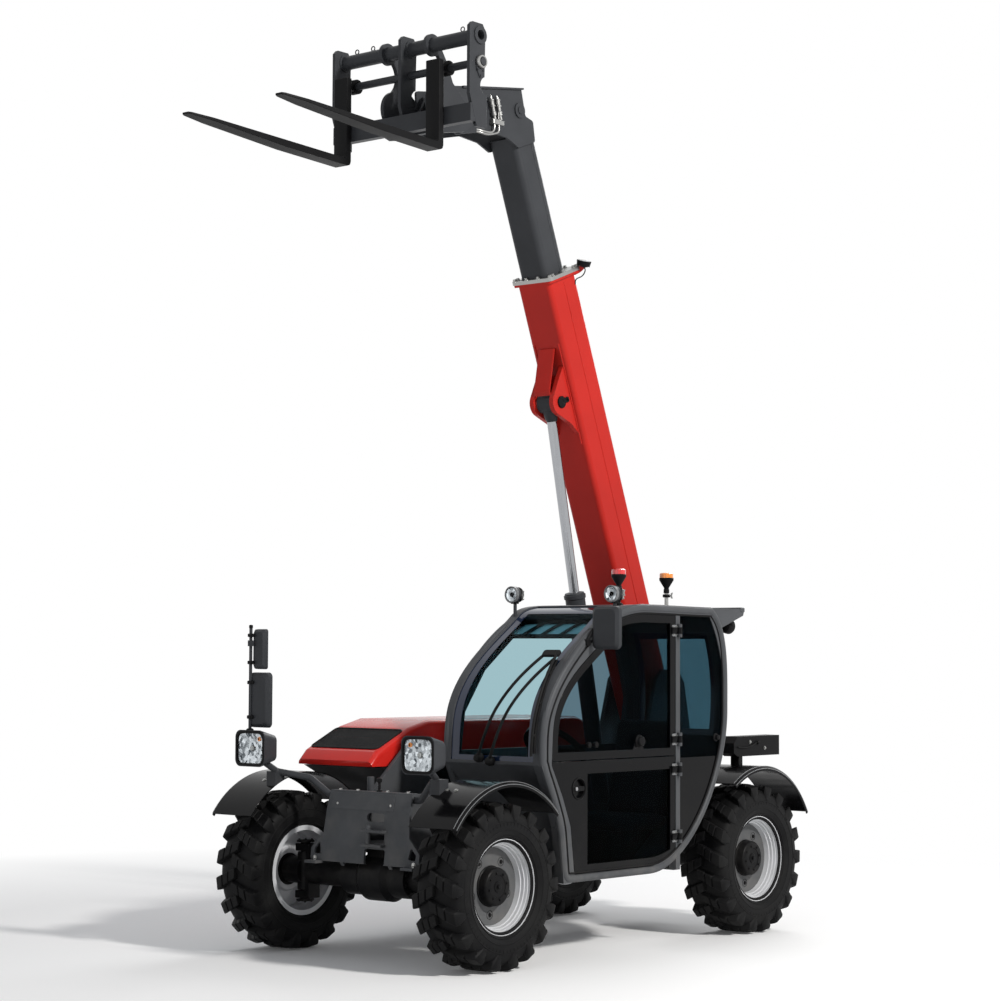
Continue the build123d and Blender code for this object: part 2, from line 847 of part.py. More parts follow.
with BuildPart() as console:
    slab(
        [(600, floor_z + fit), (600, 700), (700, 960), (640, 985), (430, 960), (400, 800), (470, floor_z + fit)],
        700,
        330,
    )
    column_end = Vector(345, 515, 1115)
    column_line = Vector(-0.684, 0, 0.7295)
    bar(tuple(column_end - column_line * 240), tuple(column_end + column_line * 10), 22)
    with BuildSketch(Plane(origin=column_end, z_dir=column_line)) as wheel_ring:
        Circle(190)
        Circle(164, mode=Mode.SUBTRACT)
    extrude(wheel_ring.sketch, amount=26)
    with BuildSketch(Plane(origin=column_end, z_dir=column_line)) as wheel_spokes:
        Rectangle(340, 40)
        Rectangle(40, 340)
    extrude(wheel_spokes.sketch, amount=16)
pieces["console"] = console

bay_top_z = hood_bottom_z - 5

# Engine side: bay walls under a tilting hood, with the engine as one block
bay_outline = [
    (620, 500),
    (620, 720),
    (720, 880),
    (1000, bay_top_z),
    (-900, bay_top_z),
    (-720, 860),
    (-620, 720),
    (-620, 500),
]
bay_cavity = [
    (602, 515),
    (602, 726),
    (706, 894),
    (900, bay_top_z + 1),
    (-820, bay_top_z + 1),
    (-708, 872),
    (-602, 726),
    (-602, 515),
]
with BuildPart() as engine_bay:
    slab(bay_outline, -chassis_half_width - fit, hood_right + 2)
    slab(bay_cavity, -chassis_half_width - 14, hood_right + 16, mode=Mode.SUBTRACT)
    for y in (hood_left - hood_wall - 6, hood_right + hood_wall + 22):
        block((hood_hinge_x - 9, y - 16, hood_hinge_z - 30), (-860, y, hood_hinge_z + 9))
    cross_bar(hood_hinge_x, hood_hinge_z, hood_hinge_radius, hood_left - 30, hood_right + 30)
pieces["engine_bay"] = engine_bay

with BuildPart() as engine_block:
    block((-430, -700, 515.3), (320, -300, 1120))
pieces["engine_block"] = engine_block

hood_outline = [
    (hood_front_x, hood_bottom_z),
    (hood_front_x + 10, hood_bottom_z + 30),
    (hood_front_x - 40, hood_bottom_z + 83),
    (hood_front_x - 310, hood_top_z - 42),
    (hood_front_x - 480, hood_top_z),
    (hood_rear_x + 130, hood_top_z),
    (hood_rear_x + 30, hood_top_z - 32),
    (hood_rear_x, hood_top_z - 112),
    (hood_rear_x, hood_bottom_z),
]
hood_cavity = [
    (hood_front_x - 30, hood_bottom_z - 1),
    (hood_front_x - 55, hood_bottom_z + 63),
    (hood_front_x - 320, hood_top_z - 60),
    (hood_front_x - 484, hood_top_z - hood_wall),
    (hood_rear_x + 135, hood_top_z - hood_wall),
    (hood_rear_x + 45, hood_top_z - 42),
    (hood_rear_x + hood_wall, hood_top_z - 117),
    (hood_rear_x + hood_wall, hood_bottom_z - 1),
]
slope_low = Vector(hood_front_x - 40, 0, hood_bottom_z + 83)
slope_high = Vector(hood_front_x - 310, 0, hood_top_z - 42)
slope_length = (slope_high - slope_low).length
slope_line = (slope_high - slope_low).normalized()
slope_plane = Plane(origin=slope_low, x_dir=slope_line, z_dir=Vector(slope_line.Z, 0, -slope_line.X))
grille_place = (slope_length / 2, -(hood_left + hood_right) / 2)
grille_height = slope_length - 2 * grille_border
grille_width = hood_left - hood_right - 2 * grille_border


def slope_panel(height, width, radius, top, depth, mode=Mode.ADD):
    """Adds a rounded panel on the hood's front slope, from top down through its depth."""
    with BuildSketch(slope_plane.offset(top)) as face:
        with Locations(grille_place):
            RectangleRounded(height, width, radius)
    extrude(face.sketch, amount=-depth, mode=mode)


with BuildPart() as hood:
    slab(hood_outline, hood_left, hood_right)
    fillet(
        hood.edges().filter_by(Axis.Y, reverse=True).filter_by(lambda e: e.center().Z > hood_bottom_z + 38),
        radius=34,
    )
    slab(hood_cavity, hood_left - hood_wall, hood_right + hood_wall, mode=Mode.SUBTRACT)
    slope_panel(grille_height, grille_width, 24, 10, 45, mode=Mode.SUBTRACT)
    for y in (hood_left - 90, hood_right + 90 + 50):
        block((hood_rear_x, y - 50, hood_hinge_z), (hood_rear_x + hood_wall, y, hood_bottom_z + 10))
        cross_bar(hood_hinge_x, hood_hinge_z, hood_hinge_radius + 7, y, y - 50)
    cross_bar(
        hood_hinge_x,
        hood_hinge_z,
        hood_hinge_radius + fit,
        hood_left,
        hood_right,
        mode=Mode.SUBTRACT,
    )
pieces["hood"] = hood

# Air grille, set back in the opening of the hood's slope
slat_gap = grille_height / grille_slats
with BuildPart() as hood_grille:
    slope_panel(grille_height - 2 * fit, grille_width - 2 * fit, 24 - fit, -7, 8)
    with BuildSketch(slope_plane) as slots:
        with Locations(grille_place):
            with GridLocations(slat_gap, 1, grille_slats - 1, 1):
                RectangleRounded(slat_gap - 9, grille_width - 44, 3)
    extrude(slots.sketch, amount=-30, mode=Mode.SUBTRACT)
pieces["hood_grille"] = hood_grille

# Outer boom section: a folded box open at the front, closed at its tail
def box_section(half_width, low, high, radius, start, reach, mode=Mode.ADD):
    """Adds a rounded rectangular bar along the boom."""
    x, z = on_boom(start, (low + high) / 2)
    plane = Plane(origin=(x, 0, z), x_dir=(0, 1, 0), z_dir=(boom_cos, 0, boom_sin))
    with BuildSketch(plane) as section:
        RectangleRounded(2 * half_width, high - low, radius)
    extrude(section.sketch, amount=reach - start, mode=mode)


with BuildPart() as boom_outer:
    box_section(outer_width / 2, outer_bottom, outer_top, corner_radius, outer_tail, outer_length)
    box_section(
        outer_width / 2 + end_flange_border,
        outer_bottom - end_flange_border / 2,
        outer_top + end_flange_border,
        corner_radius,
        outer_length - end_flange_thickness,
        outer_length,
    )
    box_section(
        outer_width / 2 - outer_wall,
        outer_bottom + outer_wall,
        outer_top - outer_wall,
        corner_radius - outer_wall,
        200,
        outer_length + 1,
        mode=Mode.SUBTRACT,
    )
    lug_outline = [
        (1700, outer_bottom),
        (2130, outer_bottom),
        (2080, -240),
        (lift_eye_along + 60, lift_eye_below - 50),
        (lift_eye_along, lift_eye_below - 78),
        (lift_eye_along - 60, lift_eye_below - 50),
        (1780, -235),
    ]
    lug_inner = lift_eye_width / 2 + lift_lug_gap
    for inner in (lug_inner, -lug_inner - lift_lug_thickness):
        slab(lug_outline, inner + lift_lug_thickness, inner, plane=boom_plane)
        cross_bar(*on_boom(lift_eye_along, lift_eye_below), lift_lug_radius + 16, inner + lift_lug_thickness, inner)
    for along in (870, 2420):
        rounded_slab(
            [(along - 40, outer_top - 20), (along + 40, outer_top - 20), (along + 26, outer_top + 44), (along - 26, outer_top + 44)],
            12,
            8,
            -8,
            plane=boom_plane,
        )
        cross_bar(*on_boom(along, outer_top + 24), 11, 9, -9, mode=Mode.SUBTRACT)
    cross_bar(pivot_x, pivot_z, pivot_pin_radius + fit, 300, -300, mode=Mode.SUBTRACT)
pieces["boom_outer"] = boom_outer

with BuildPart() as boom_collar:
    box_section(
        outer_width / 2 + collar_border,
        outer_bottom - 14,
        outer_top + collar_border,
        corner_radius,
        outer_length + fit,
        outer_length + collar_thickness,
    )
    box_section(
        inner_width / 2 + collar_gap,
        inner_bottom - collar_gap,
        inner_top + collar_gap,
        corner_radius - 6 + collar_gap,
        outer_length - 1,
        outer_length + collar_thickness + 1,
        mode=Mode.SUBTRACT,
    )
    pad_start = outer_length + fit
    pad_end = outer_length + collar_thickness
    for y in (58, pad_width - 58):
        for low, high in (
            (inner_top + fit, inner_top + collar_gap + 1),
            (inner_bottom - collar_gap - 1, inner_bottom - fit),
        ):
            slab(
                [(pad_start, low), (pad_end, low), (pad_end, high), (pad_start, high)],
                y,
                y - pad_width,
                plane=boom_plane,
            )
pieces["boom_collar"] = boom_collar

with BuildPart() as boom_inner:
    box_section(inner_width / 2, inner_bottom, inner_top, inner_corner_radius, inner_tail, inner_reach)
    box_section(
        inner_width / 2 - inner_wall,
        inner_bottom + inner_wall,
        inner_top - inner_wall,
        inner_corner_radius - inner_wall,
        inner_tail - 1,
        inner_reach + 1,
        mode=Mode.SUBTRACT,
    )
pieces["boom_inner"] = boom_inner

# Boom head: two gooseneck side plates with a top plate between them
head_inner = inner_width / 2 + fit
head_half_width = head_inner + head_plate
head_front = from_head((115, 241), (786, 132), (778, 5), (740, -105), (680, -130), (398, -62), (240, -75))
head_root = [
    on_boom(inner_reach - 60, inner_bottom + 4),
    on_boom(inner_reach - 60, inner_top - 30),
    on_boom(inner_reach + 60, inner_top - 6),
]
head_back = from_head((74, 81))
with BuildPart() as boom_head:
    for outer in (head_half_width, -head_inner):
        rounded_slab(head_front + head_root + head_back, 20, outer, outer - head_plate)
    slab(
        from_head((104, 241), (104, 231), (640, 143), (640, 157)),
        head_half_width + 12,
        -head_half_width - 12,
    )
    cross_bar(carrier_x, carrier_z, carrier_pin_radius, hook_half_gap + 10, -hook_half_gap - 10)
    cross_bar(tilt_base_x, tilt_base_z, tilt_base_pin_radius, head_half_width + 16, -head_half_width - 16)
    for low, high in ((head_half_width - 1, head_half_width + 10), (-head_half_width - 10, 1 - head_half_width)):
        cross_bar(tilt_base_x, tilt_base_z, 2 * tilt_base_pin_radius, high, low)
pieces["boom_head"] = boom_head


def cylinder_bar(origin, direction, start, reach, radius, mode=Mode.ADD):
    """Adds a round length of a cylinder along its own line."""
    first = origin + direction * start
    last = origin + direction * reach
    bar(tuple(first), tuple(last), radius, mode)


# Lift cylinder
lift_base = Vector(lift_base_x, 0, lift_base_z)
lift_eye_x, lift_eye_z = on_boom(lift_eye_along, lift_eye_below)
lift_eye = Vector(lift_eye_x, 0, lift_eye_z)
lift_line = (lift_eye - lift_base).normalized()
lift_length = (lift_eye - lift_base).length
with BuildPart() as lift_barrel:
    cylinder_bar(lift_base, lift_line, 20, lift_barrel_reach, lift_barrel_radius)
    cross_bar(lift_base_x, lift_base_z, lift_eye_radius, lift_eye_width / 2, -lift_eye_width / 2)
    cylinder_bar(lift_base, lift_line, lift_barrel_reach - 90, lift_barrel_reach, lift_barrel_radius + 8)
    cylinder_bar(lift_base, lift_line, 90, lift_barrel_reach + 1, lift_rod_radius + fit, mode=Mode.SUBTRACT)
    cross_bar(lift_base_x, lift_base_z, lift_pin_radius + fit, 60, -60, mode=Mode.SUBTRACT)
pieces["lift_barrel"] = lift_barrel

with BuildPart() as lift_rod:
    cylinder_bar(lift_base, lift_line, lift_length - 1400, lift_length - 20, lift_rod_radius)
    cross_bar(lift_eye.X, lift_eye.Z, lift_eye_radius, lift_eye_width / 2, -lift_eye_width / 2)
    cross_bar(lift_eye.X, lift_eye.Z, lift_pin_radius, lift_eye_width / 2 + 4.7, -lift_eye_width / 2 - 4.7)
pieces["lift_rod"] = lift_rod

# Tilt cylinder, inside the head
tilt_base = Vector(tilt_base_x, 0, tilt_base_z)
tilt_eye = Vector(
    carrier_x + tilt_arm * cos(radians(tilt_arm_angle)),
    0,
    carrier_z + tilt_arm * sin(radians(tilt_arm_angle)),
)
tilt_line = (tilt_eye - tilt_base).normalized()
tilt_length = (tilt_eye - tilt_base).length
with BuildPart() as tilt_barrel:
    cylinder_bar(tilt_base, tilt_line, 10, tilt_barrel_reach, tilt_barrel_radius)
    cross_bar(tilt_base_x, tilt_base_z, tilt_eye_radius, tilt_eye_width / 2, -tilt_eye_width / 2)
    cylinder_bar(tilt_base, tilt_line, 50, tilt_barrel_reach + 1, tilt_rod_radius + fit, mode=Mode.SUBTRACT)
    cross_bar(tilt_base_x, tilt_base_z, tilt_base_pin_radius + fit, 60, -60, mode=Mode.SUBTRACT)
pieces["tilt_barrel"] = tilt_barrel

with BuildPart() as tilt_rod:
    cylinder_bar(tilt_base, tilt_line, tilt_length - tilt_rod_tail, tilt_length - 10, tilt_rod_radius)
    cross_bar(tilt_eye.X, tilt_eye.Z, tilt_eye_radius, tilt_eye_width / 2, -tilt_eye_width / 2)
pieces["tilt_rod"] = tilt_rod

# Tool carrier: two hooked arms on the carrier pin, joined by a tube, with ears for the tilt rod
arm_back = from_carrier(
    (290, -12),
    (290, -105),
    (235, -120),
    (0, -75),
    (-70, -25),
    (-60, 55),
    (100, 185),
    (150, 290),
    (225, 400),
    (285, 400),
)
leaf_foot, leaf_front, leaf_tip = from_carrier((290, -12), (308, 78), (232, 160))
throat, throat_top = from_carrier((196, 225), (230, 322))
ear_front = from_carrier((-40, -34), (30, -48), (220, -105), (220, -25), (150, 25))
bar_low = carrier_z - 115
bar_high = carrier_z - 15
crosspiece_x = carrier_x + 212
ring_radius = top_tube_radius + 22
with BuildPart() as tool_carrier:
    for outer in (hook_half_gap, -hook_half_gap + 24):
        with BuildSketch(side_plane(outer)) as arm:
            with BuildLine():
                Polyline(*arm_back)
                Line(arm_back[-1], throat_top)
                ThreePointArc(throat_top, throat, leaf_tip)
                ThreePointArc(leaf_tip, leaf_front, leaf_foot)
            make_face()
        extrude(arm.sketch, amount=24)
        cross_bar(top_tube_x, top_tube_z, ring_radius, outer, outer - 24)
    block(
        (crosspiece_x, -hook_half_gap + 1, bar_low + 2),
        (crosspiece_x + 30, hook_half_gap - 1, bar_high - 2),
    )
    for inner in (tilt_eye_width / 2 + 4, -tilt_eye_width / 2 - 4 - 18):
        slab(
            ear_front
            + [
                (tilt_eye.X + 42, tilt_eye.Z),
                (tilt_eye.X, tilt_eye.Z + 42),
                (tilt_eye.X - 42, tilt_eye.Z),
            ],
            inner + 18,
            inner,
        )
    cross_bar(carrier_x, carrier_z, carrier_pin_radius + fit, 300, -300, mode=Mode.SUBTRACT)
    cross_bar(top_tube_x, top_tube_z, top_tube_radius + fit, 300, -300, mode=Mode.SUBTRACT)
pieces["tool_carrier"] = tool_carrier

carrier_bar_x = carrier_x + 290
fork_back_x = fork_shaft_x + 78

# Fork carriage: three upright plates on a top tube, a fork shaft and a lower bar
plate_outline = from_carrier(
    (206, -139),
    (290, -139),
    (350, 35),
    (350, 412),
    (328, 434),
    (242, 434),
    (220, 400),
    (225, 135),
    (206, 35),
)
plate_arch_x, plate_arch_z = from_carrier((208, 92))[0]
with BuildPart() as fork_carriage:
    cross_bar(top_tube_x, top_tube_z, top_tube_radius, carriage_half_width + 4, -carriage_half_width - 4)
    cross_bar(fork_shaft_x, fork_shaft_z, fork_shaft_radius, carriage_half_width + 30, -carriage_half_width - 30)
    for outer in (carriage_half_width, carriage_plate / 2, -carriage_half_width + carriage_plate):
        rounded_slab(plate_outline, 9, outer, outer - carriage_plate)
        cross_bar(plate_arch_x, plate_arch_z, 52, outer + 1, outer - carriage_plate - 1, mode=Mode.SUBTRACT)
        cross_bar(top_tube_x, top_tube_z, top_tube_radius + 10, outer + 9, outer - carriage_plate - 9)
    for side in (1, -1):
        low, high = sorted((side * (carriage_half_width - 1), side * (carriage_half_width + 18)))
        cross_bar(fork_shaft_x, fork_shaft_z, fork_shaft_radius + 13, high, low)
    block(
        (carrier_bar_x + fit, -carriage_half_width + 1, bar_low),
        (fork_back_x - 6, carriage_half_width - 1, bar_high),
    )
    block(
        (crosspiece_x - fit, -hook_half_gap, bar_low + 2 - fit),
        (crosspiece_x + 30 + fit, hook_half_gap, bar_high - 2 + fit),
        mode=Mode.SUBTRACT,
    )
    cross_bar(top_tube_x, top_tube_z, top_tube_bore, carriage_half_width + 10, carriage_half_width - 120, mode=Mode.SUBTRACT)
    cross_bar(top_tube_x, top_tube_z, top_tube_bore, 120 - carriage_half_width, -carriage_half_width - 10, mode=Mode.SUBTRACT)
pieces["fork_carriage"] = fork_carriage


def make_fork(y):
    """One pallet fork, hung from the shaft by its ring and resting on the lower bar."""
    back = fork_back_x
    heel = fork_heel_z
    rise = tan(radians(fork_slope))
    tip = back + fork_length
    narrow = tip - fork_tip_length
    with BuildPart() as fork:
        slab(
            [
                (back, fork_shaft_z + 30),
                (back + fork_thickness, fork_shaft_z + 30),
                (back + fork_thickness, heel + fork_thickness + 14),
                (back + fork_thickness + 12, heel + fork_thickness + rise * (fork_thickness + 12)),
                (tip, heel + fork_thickness + rise * fork_length),
                (tip, heel + fork_thickness - 12 + rise * fork_length),
                (back + 500, heel + rise * 500),
                (back + 26, heel),
                (back + 7, heel + 7),
                (back, heel + 26),
            ],
            y + fork_width / 2,
            y - fork_width / 2,
        )
        for side in (1, -1):
            with BuildSketch(Plane.XY.offset(heel - 10)) as corner:
                with BuildLine():
                    Polyline(
                        (narrow, y + side * fork_width / 2),
                        (tip - 20, y + side * (fork_tip_half + 12)),
                        (tip, y + side * fork_tip_half),
                        (tip + 5, y + side * fork_width),
                        (narrow, y + side * fork_width),
                        close=True,
                    )
                make_face()
            extrude(corner.sketch, amount=150, mode=Mode.SUBTRACT)
        cross_bar(fork_shaft_x, fork_shaft_z, fork_shaft_radius + 20, y + 26, y - 26)
        block((fork_shaft_x, y - 26, fork_shaft_z - 30), (back + 1, y + 26, fork_shaft_z + 30))
        cross_bar(fork_shaft_x, fork_shaft_z, fork_shaft_radius + fit, y + 60, y - 60, mode=Mode.SUBTRACT)
    return fork


pieces["fork_left"] = make_fork(fork_left_y)
pieces["fork_right"] = make_fork(fork_right_y)



def lamp_shell(x, y, z, width, height, depth, taper, recess):
    """Adds a rounded housing that opens forwards, narrower at its back."""
    with BuildSketch(facing_plane(x - depth, y, z)) as back_face:
        RectangleRounded(width * taper, height * taper, 0.16 * height)
    with BuildSketch(facing_plane(x, y, z)) as front_face:
        RectangleRounded(width, height, 0.2 * height)
    loft([back_face.sketch, front_face.sketch])
    if recess:
        panel(x + 1, y, z, width - 2 * headlamp_shell, height - 2 * headlamp_shell, 0.16 * height, recess, mode=Mode.SUBTRACT)


# Headlamps on their arms
with BuildPart() as headlamps:
    for side in (1, -1):
        bent_tube(
            [
                (1250, side * (chassis_half_width + fit), 868),
                (1250, side * 330, 868),
                (1300, side * 450, 966),
                (1420, side * 590, 1000),
                (1540, side * headlamp_y, 1080),
            ],
            18,
            40,
        )
        lamp_shell(
            headlamp_x,
            side * headlamp_y,
            headlamp_z,
            headlamp_width,
            headlamp_height,
            headlamp_depth,
            0.72,
            26,
        )
        low_y, high_y = sorted((side * 570, side * 640))
        block((1380, low_y, 880), (1450, high_y, 1000))
        fender_clear(axle_x, side)
pieces["headlamps"] = headlamps


def mirror_shell(x, y, z, width, height, depth):
    """Adds a mirror housing: its glass side looks back, its rounded shell forwards."""
    with BuildSketch(facing_plane(x, y, z)) as glass_face:
        RectangleRounded(width, height, 0.16 * width)
    with BuildSketch(facing_plane(x + 0.6 * depth, y, z)) as middle_face:
        RectangleRounded(width * 0.97, height * 0.98, 0.16 * width)
    with BuildSketch(facing_plane(x + depth, y, z)) as shell_face:
        RectangleRounded(width * 0.78, height * 0.86, 0.16 * width)
    loft([glass_face.sketch, middle_face.sketch])
    loft([middle_face.sketch, shell_face.sketch])
    panel(x + 5, y, z, width - 14, height - 14, 0.12 * width, 6, mode=Mode.SUBTRACT)


# Mirrors: two on a pole at the right front, one on the left pillar
pole_top = headlamp_z + headlamp_height / 2
with BuildPart() as mirrors:
    bar((1560, -662, pole_top - 12), (1560, -662, 1797), 9)
    add(headlamps.part, mode=Mode.SUBTRACT)
    mirror_shell(1520, -612, 1674, 92, 222, 34)
    mirror_shell(1520, -612, 1394, 166, 304, 38)
    block((1532, -674, 1690), (1572, -640, 1722))
    mirror_shell(440, 966, 1798, 188, 236, 34)
    bar((458, 900, 1800), (418, 820, 1790), 9)
    extrude(cab_face(cab_left, -fit, -fit, -fit, -fit, side_foot, 0), amount=200, mode=Mode.SUBTRACT)
pieces["mirrors"] = mirrors

# Lights on the roof
with BuildPart() as work_lamps:
    for x, y in ((300, 190), (200, 828)):
        bar((x, y, 1820), (x, y, 1960), 10)
        bar((x - 26, y, 1990), (x + 16, y, 1990), 0.72 * work_lamp_radius)
        bar((x, y, 1990), (x + 35, y, 1990), work_lamp_radius)
        bar((x + 28, y, 1990), (x + 36, y, 1990), work_lamp_radius - 6, mode=Mode.SUBTRACT)
    extrude(cab_face(cab_left, -fit, -fit, -fit, -fit, side_foot, 0), amount=700, mode=Mode.SUBTRACT)
pieces["work_lamps"] = work_lamps

with BuildPart() as beacons:
    for x, y in ((100, 780), (-600, 600)):
        bar((x, y, 1880), (x, y, 2065), 12)
        bar((x, y, 2060), (x, y, 2078), beacon_radius)
        for base, height, low, high in (
            (2077, 41, beacon_radius - 5, beacon_radius - 8),
            (2118, 16, beacon_radius - 8, beacon_radius - 21),
        ):
            with Locations((x, y, base + height / 2)):
                Cone(low, high, height)
    extrude(cab_face(cab_left, -fit, -fit, -fit, -fit, side_foot, 0), amount=700, mode=Mode.SUBTRACT)
pieces["beacons"] = beacons

# Tail lamps on their boxed arms
with BuildPart() as tail_lamps:
    for side in (1, -1):
        low, high = sorted((side * 600, side * 700))
        slab([(-1640, 1040), (-1640, 1160), (-1190, 1160), (-1150, 1120), (-1150, 1060), (-1190, 1040)], high, low)
        panel(-1628, side * 650, 1100, 86, 106, 10, 14, mode=Mode.SUBTRACT)
        bar((-1250, side * (chassis_half_width + fit), 1090), (-1250, side * 620, 1090), 24)
        block((-1270, side * 650 - 30, 900), (-1230, side * 650 + 30, 1041))
        fender_clear(-axle_x, side)
pieces["tail_lamps"] = tail_lamps

to_origin = Location((-origin_ahead_of_mid_wheelbase, -origin_left_of_centre_line, 0))
os.makedirs("parts", exist_ok=True)
for name, piece in pieces.items():
    piece.part.label = name
    placed = piece.part.moved(to_origin)
    placed.label = name
    export_step(placed, f"parts/{name}.step")
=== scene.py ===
import json
from math import cos, pi, radians, sin

import bmesh
import bpy
import numpy as np
from mathutils import Matrix, Vector

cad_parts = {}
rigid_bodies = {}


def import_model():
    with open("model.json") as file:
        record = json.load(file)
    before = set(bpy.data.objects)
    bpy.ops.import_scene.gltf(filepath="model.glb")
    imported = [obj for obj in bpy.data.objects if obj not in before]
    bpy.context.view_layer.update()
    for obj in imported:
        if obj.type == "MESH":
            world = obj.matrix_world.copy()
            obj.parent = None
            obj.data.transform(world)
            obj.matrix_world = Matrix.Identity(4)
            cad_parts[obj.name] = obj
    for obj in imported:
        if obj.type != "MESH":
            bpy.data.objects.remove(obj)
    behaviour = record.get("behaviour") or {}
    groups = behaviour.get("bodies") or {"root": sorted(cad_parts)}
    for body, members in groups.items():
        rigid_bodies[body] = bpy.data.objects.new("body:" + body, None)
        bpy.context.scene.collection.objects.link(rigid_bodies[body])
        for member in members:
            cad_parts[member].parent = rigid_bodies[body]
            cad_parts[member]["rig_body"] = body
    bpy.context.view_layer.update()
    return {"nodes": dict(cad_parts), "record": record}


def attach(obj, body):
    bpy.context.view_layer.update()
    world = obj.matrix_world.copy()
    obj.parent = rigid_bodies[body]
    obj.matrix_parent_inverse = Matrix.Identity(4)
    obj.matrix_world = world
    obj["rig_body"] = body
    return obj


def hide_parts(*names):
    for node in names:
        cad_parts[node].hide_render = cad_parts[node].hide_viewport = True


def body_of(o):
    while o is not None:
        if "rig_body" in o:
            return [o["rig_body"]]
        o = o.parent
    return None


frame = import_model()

nodes = frame["nodes"]

# The vehicle's own axes start on the ground at mid wheelbase; the frame's origin lies ahead and left of it
origin = np.array((0.310, 0.080, 0.0))

# Directions and views: each view is (across, up, out of the picture) as rows
ahead, left, upward = np.eye(3)
sideView = np.array((ahead, upward, left))
frontView = np.array((left, upward, ahead))
backView = np.array((left, upward, -ahead))
hands = (("left", 1), ("right", -1))

# Sizes that many pieces share, in metres and degrees
machine = {
    "axle": 1.179, "track": 0.730, "tyreRadius": 0.440, "kingpin": 0.600,
    "boomAngle": 68.9, "pivotX": -1.200, "pivotZ": 1.450,
    "cabLeft": 0.860, "cabRight": 0.160, "doorFace": 0.858,
}
axles = (("front", machine["axle"]), ("rear", -machine["axle"]))


# Camera, at the photograph's place
camera = {
    "place": (10.7841, 8.9090, 1.6707), "yaw": 220.122, "pitch": 3.6026, "roll": 0.2402,
    "lens": 85.82, "sensor": 36.0, "reach": 200,
}


def makeCamera(c):
    yaw, pitch, roll = radians(c["yaw"]), radians(c["pitch"]), radians(c["roll"])
    way = Vector((cos(yaw) * cos(pitch), sin(yaw) * cos(pitch), sin(pitch)))
    side = way.cross(Vector((0, 0, 1))).normalized()
    up = side.cross(way)
    right = side * cos(roll) + up * sin(roll)
    top = up * cos(roll) - side * sin(roll)
    data = bpy.data.cameras.new("camera")
    data.lens = c["lens"]
    data.sensor_width = c["sensor"]
    data.sensor_height = c["sensor"]
    data.sensor_fit = "VERTICAL"
    data.clip_end = c["reach"]
    turn = Matrix((right, top, -way)).transposed().to_4x4()
    view = bpy.data.objects.new("camera", data)
    view.matrix_world = Matrix.Translation(Vector(np.array(c["place"]) - origin)) @ turn
    bpy.context.scene.collection.objects.link(view)
    bpy.context.scene.camera = view


makeCamera(camera)
print("camera")


# One wrapper for a socket, so that shader maths reads as ordinary expressions
class Socket:
    def __init__(self, shader, out):
        self.shader, self.out = shader, out

    def maths(self, operation, other):
        return self.shader.node("Math", {"operation": operation}, {0: self, 1: other})

    def __add__(self, other):
        return self.maths("ADD", other)

    def __mul__(self, other):
        return self.maths("MULTIPLY", other)

    def __gt__(self, other):
        return self.maths("GREATER_THAN", other)

    def __lt__(self, other):
        return self.maths("LESS_THAN", other)

    def __or__(self, other):
        return self.maths("MAXIMUM", other)


class Shader:
    def __init__(self, name):
        self.material = bpy.data.materials.new(name)
        self.material.use_nodes = True
        self.tree = self.material.node_tree
        self.tree.nodes.clear()
        self.output = self.tree.nodes.new("ShaderNodeOutputMaterial")

    def node(self, kind, settings=None, inputs=None, out=0):
        made = self.tree.nodes.new("ShaderNode" + kind)
        for key, value in (settings or {}).items():
            setattr(made, key, value)
        for key, value in (inputs or {}).items():
            if isinstance(value, Socket):
                self.tree.links.new(value.out, made.inputs[key])
            else:
                made.inputs[key].default_value = value
        return Socket(self, made.outputs[out])

    def place(self, scale=(1.0, 1.0, 1.0)):  # Object coordinates, in metres, times a scale
        spot = self.node("TexCoord", out=3)
        return self.node("Mapping", {}, {"Vector": spot, "Scale": scale})

    def axis(self, index):  # one Object coordinate, in metres
        return self.node("SeparateXYZ", {}, {0: self.node("TexCoord", out=3)}, out=index)

    def noise(self, scale, detail=3.0, rough=0.5, stretch=(1.0, 1.0, 1.0)):
        inputs = {"Vector": self.place(stretch), "Scale": scale, "Detail": detail, "Roughness": rough}
        return self.node("TexNoise", {}, inputs)

    def blend(self, a, b, factor):  # a colour between a and b
        return self.node("Mix", {"data_type": "RGBA"}, {0: factor, 6: a, 7: b}, out=2)

    def ramp(self, value, low, high):  # value stretched so that low is 0 and high is 1
        return self.node("MapRange", {}, {0: value, 1: low, 2: high, 3: 0.0, 4: 1.0})

    def bump(self, height, distance):
        return self.node("Bump", {}, {"Strength": 1.0, "Distance": distance, "Height": height})

    def surface(self, **sockets):
        made = {key.replace("_", " "): value for key, value in sockets.items()}
        return self.node("BsdfPrincipled", {}, made)

    def finish(self, shading):
        self.tree.links.new(shading.out, self.output.inputs[0])
        return self.material


def shade(colour, factor=1.0):  # the same colour, lighter or darker
    return tuple(min(1.0, c * factor) for c in colour) + (1.0,)


roadDust = (0.28, 0.26, 0.23, 1.0)


def dustOver(s, base, low, high, amount):
    # a thin film of dust that thickens in patches towards the ground
    film = s.ramp(s.axis(2), high, low) * s.ramp(s.noise(9.0, 6.0), 0.42, 0.72) * amount
    return s.blend(base, roadDust, film), film


def paint(name, colour, rough, coat, grain=0.00004, dust=0.10, shine=0.12):
    # body colour with slow unevenness, fine orange peel under the coat and a little dust near the ground
    s = Shader(name)
    base = s.blend(shade(colour, 0.88), shade(colour), s.ramp(s.noise(3.0), 0.3, 0.7))
    dusty, film = dustOver(s, base, 0.35, 1.0, dust)
    wear = s.ramp(s.noise(14.0, 5.0), 0.35, 0.75)
    return s.finish(s.surface(
        Base_Color=dusty, Roughness=wear * 0.10 + (rough - 0.05) + film, Specular_IOR_Level=shine,
        Coat_Weight=coat, Coat_Roughness=0.08, Normal=s.bump(s.noise(420.0, 2.0), grain)))


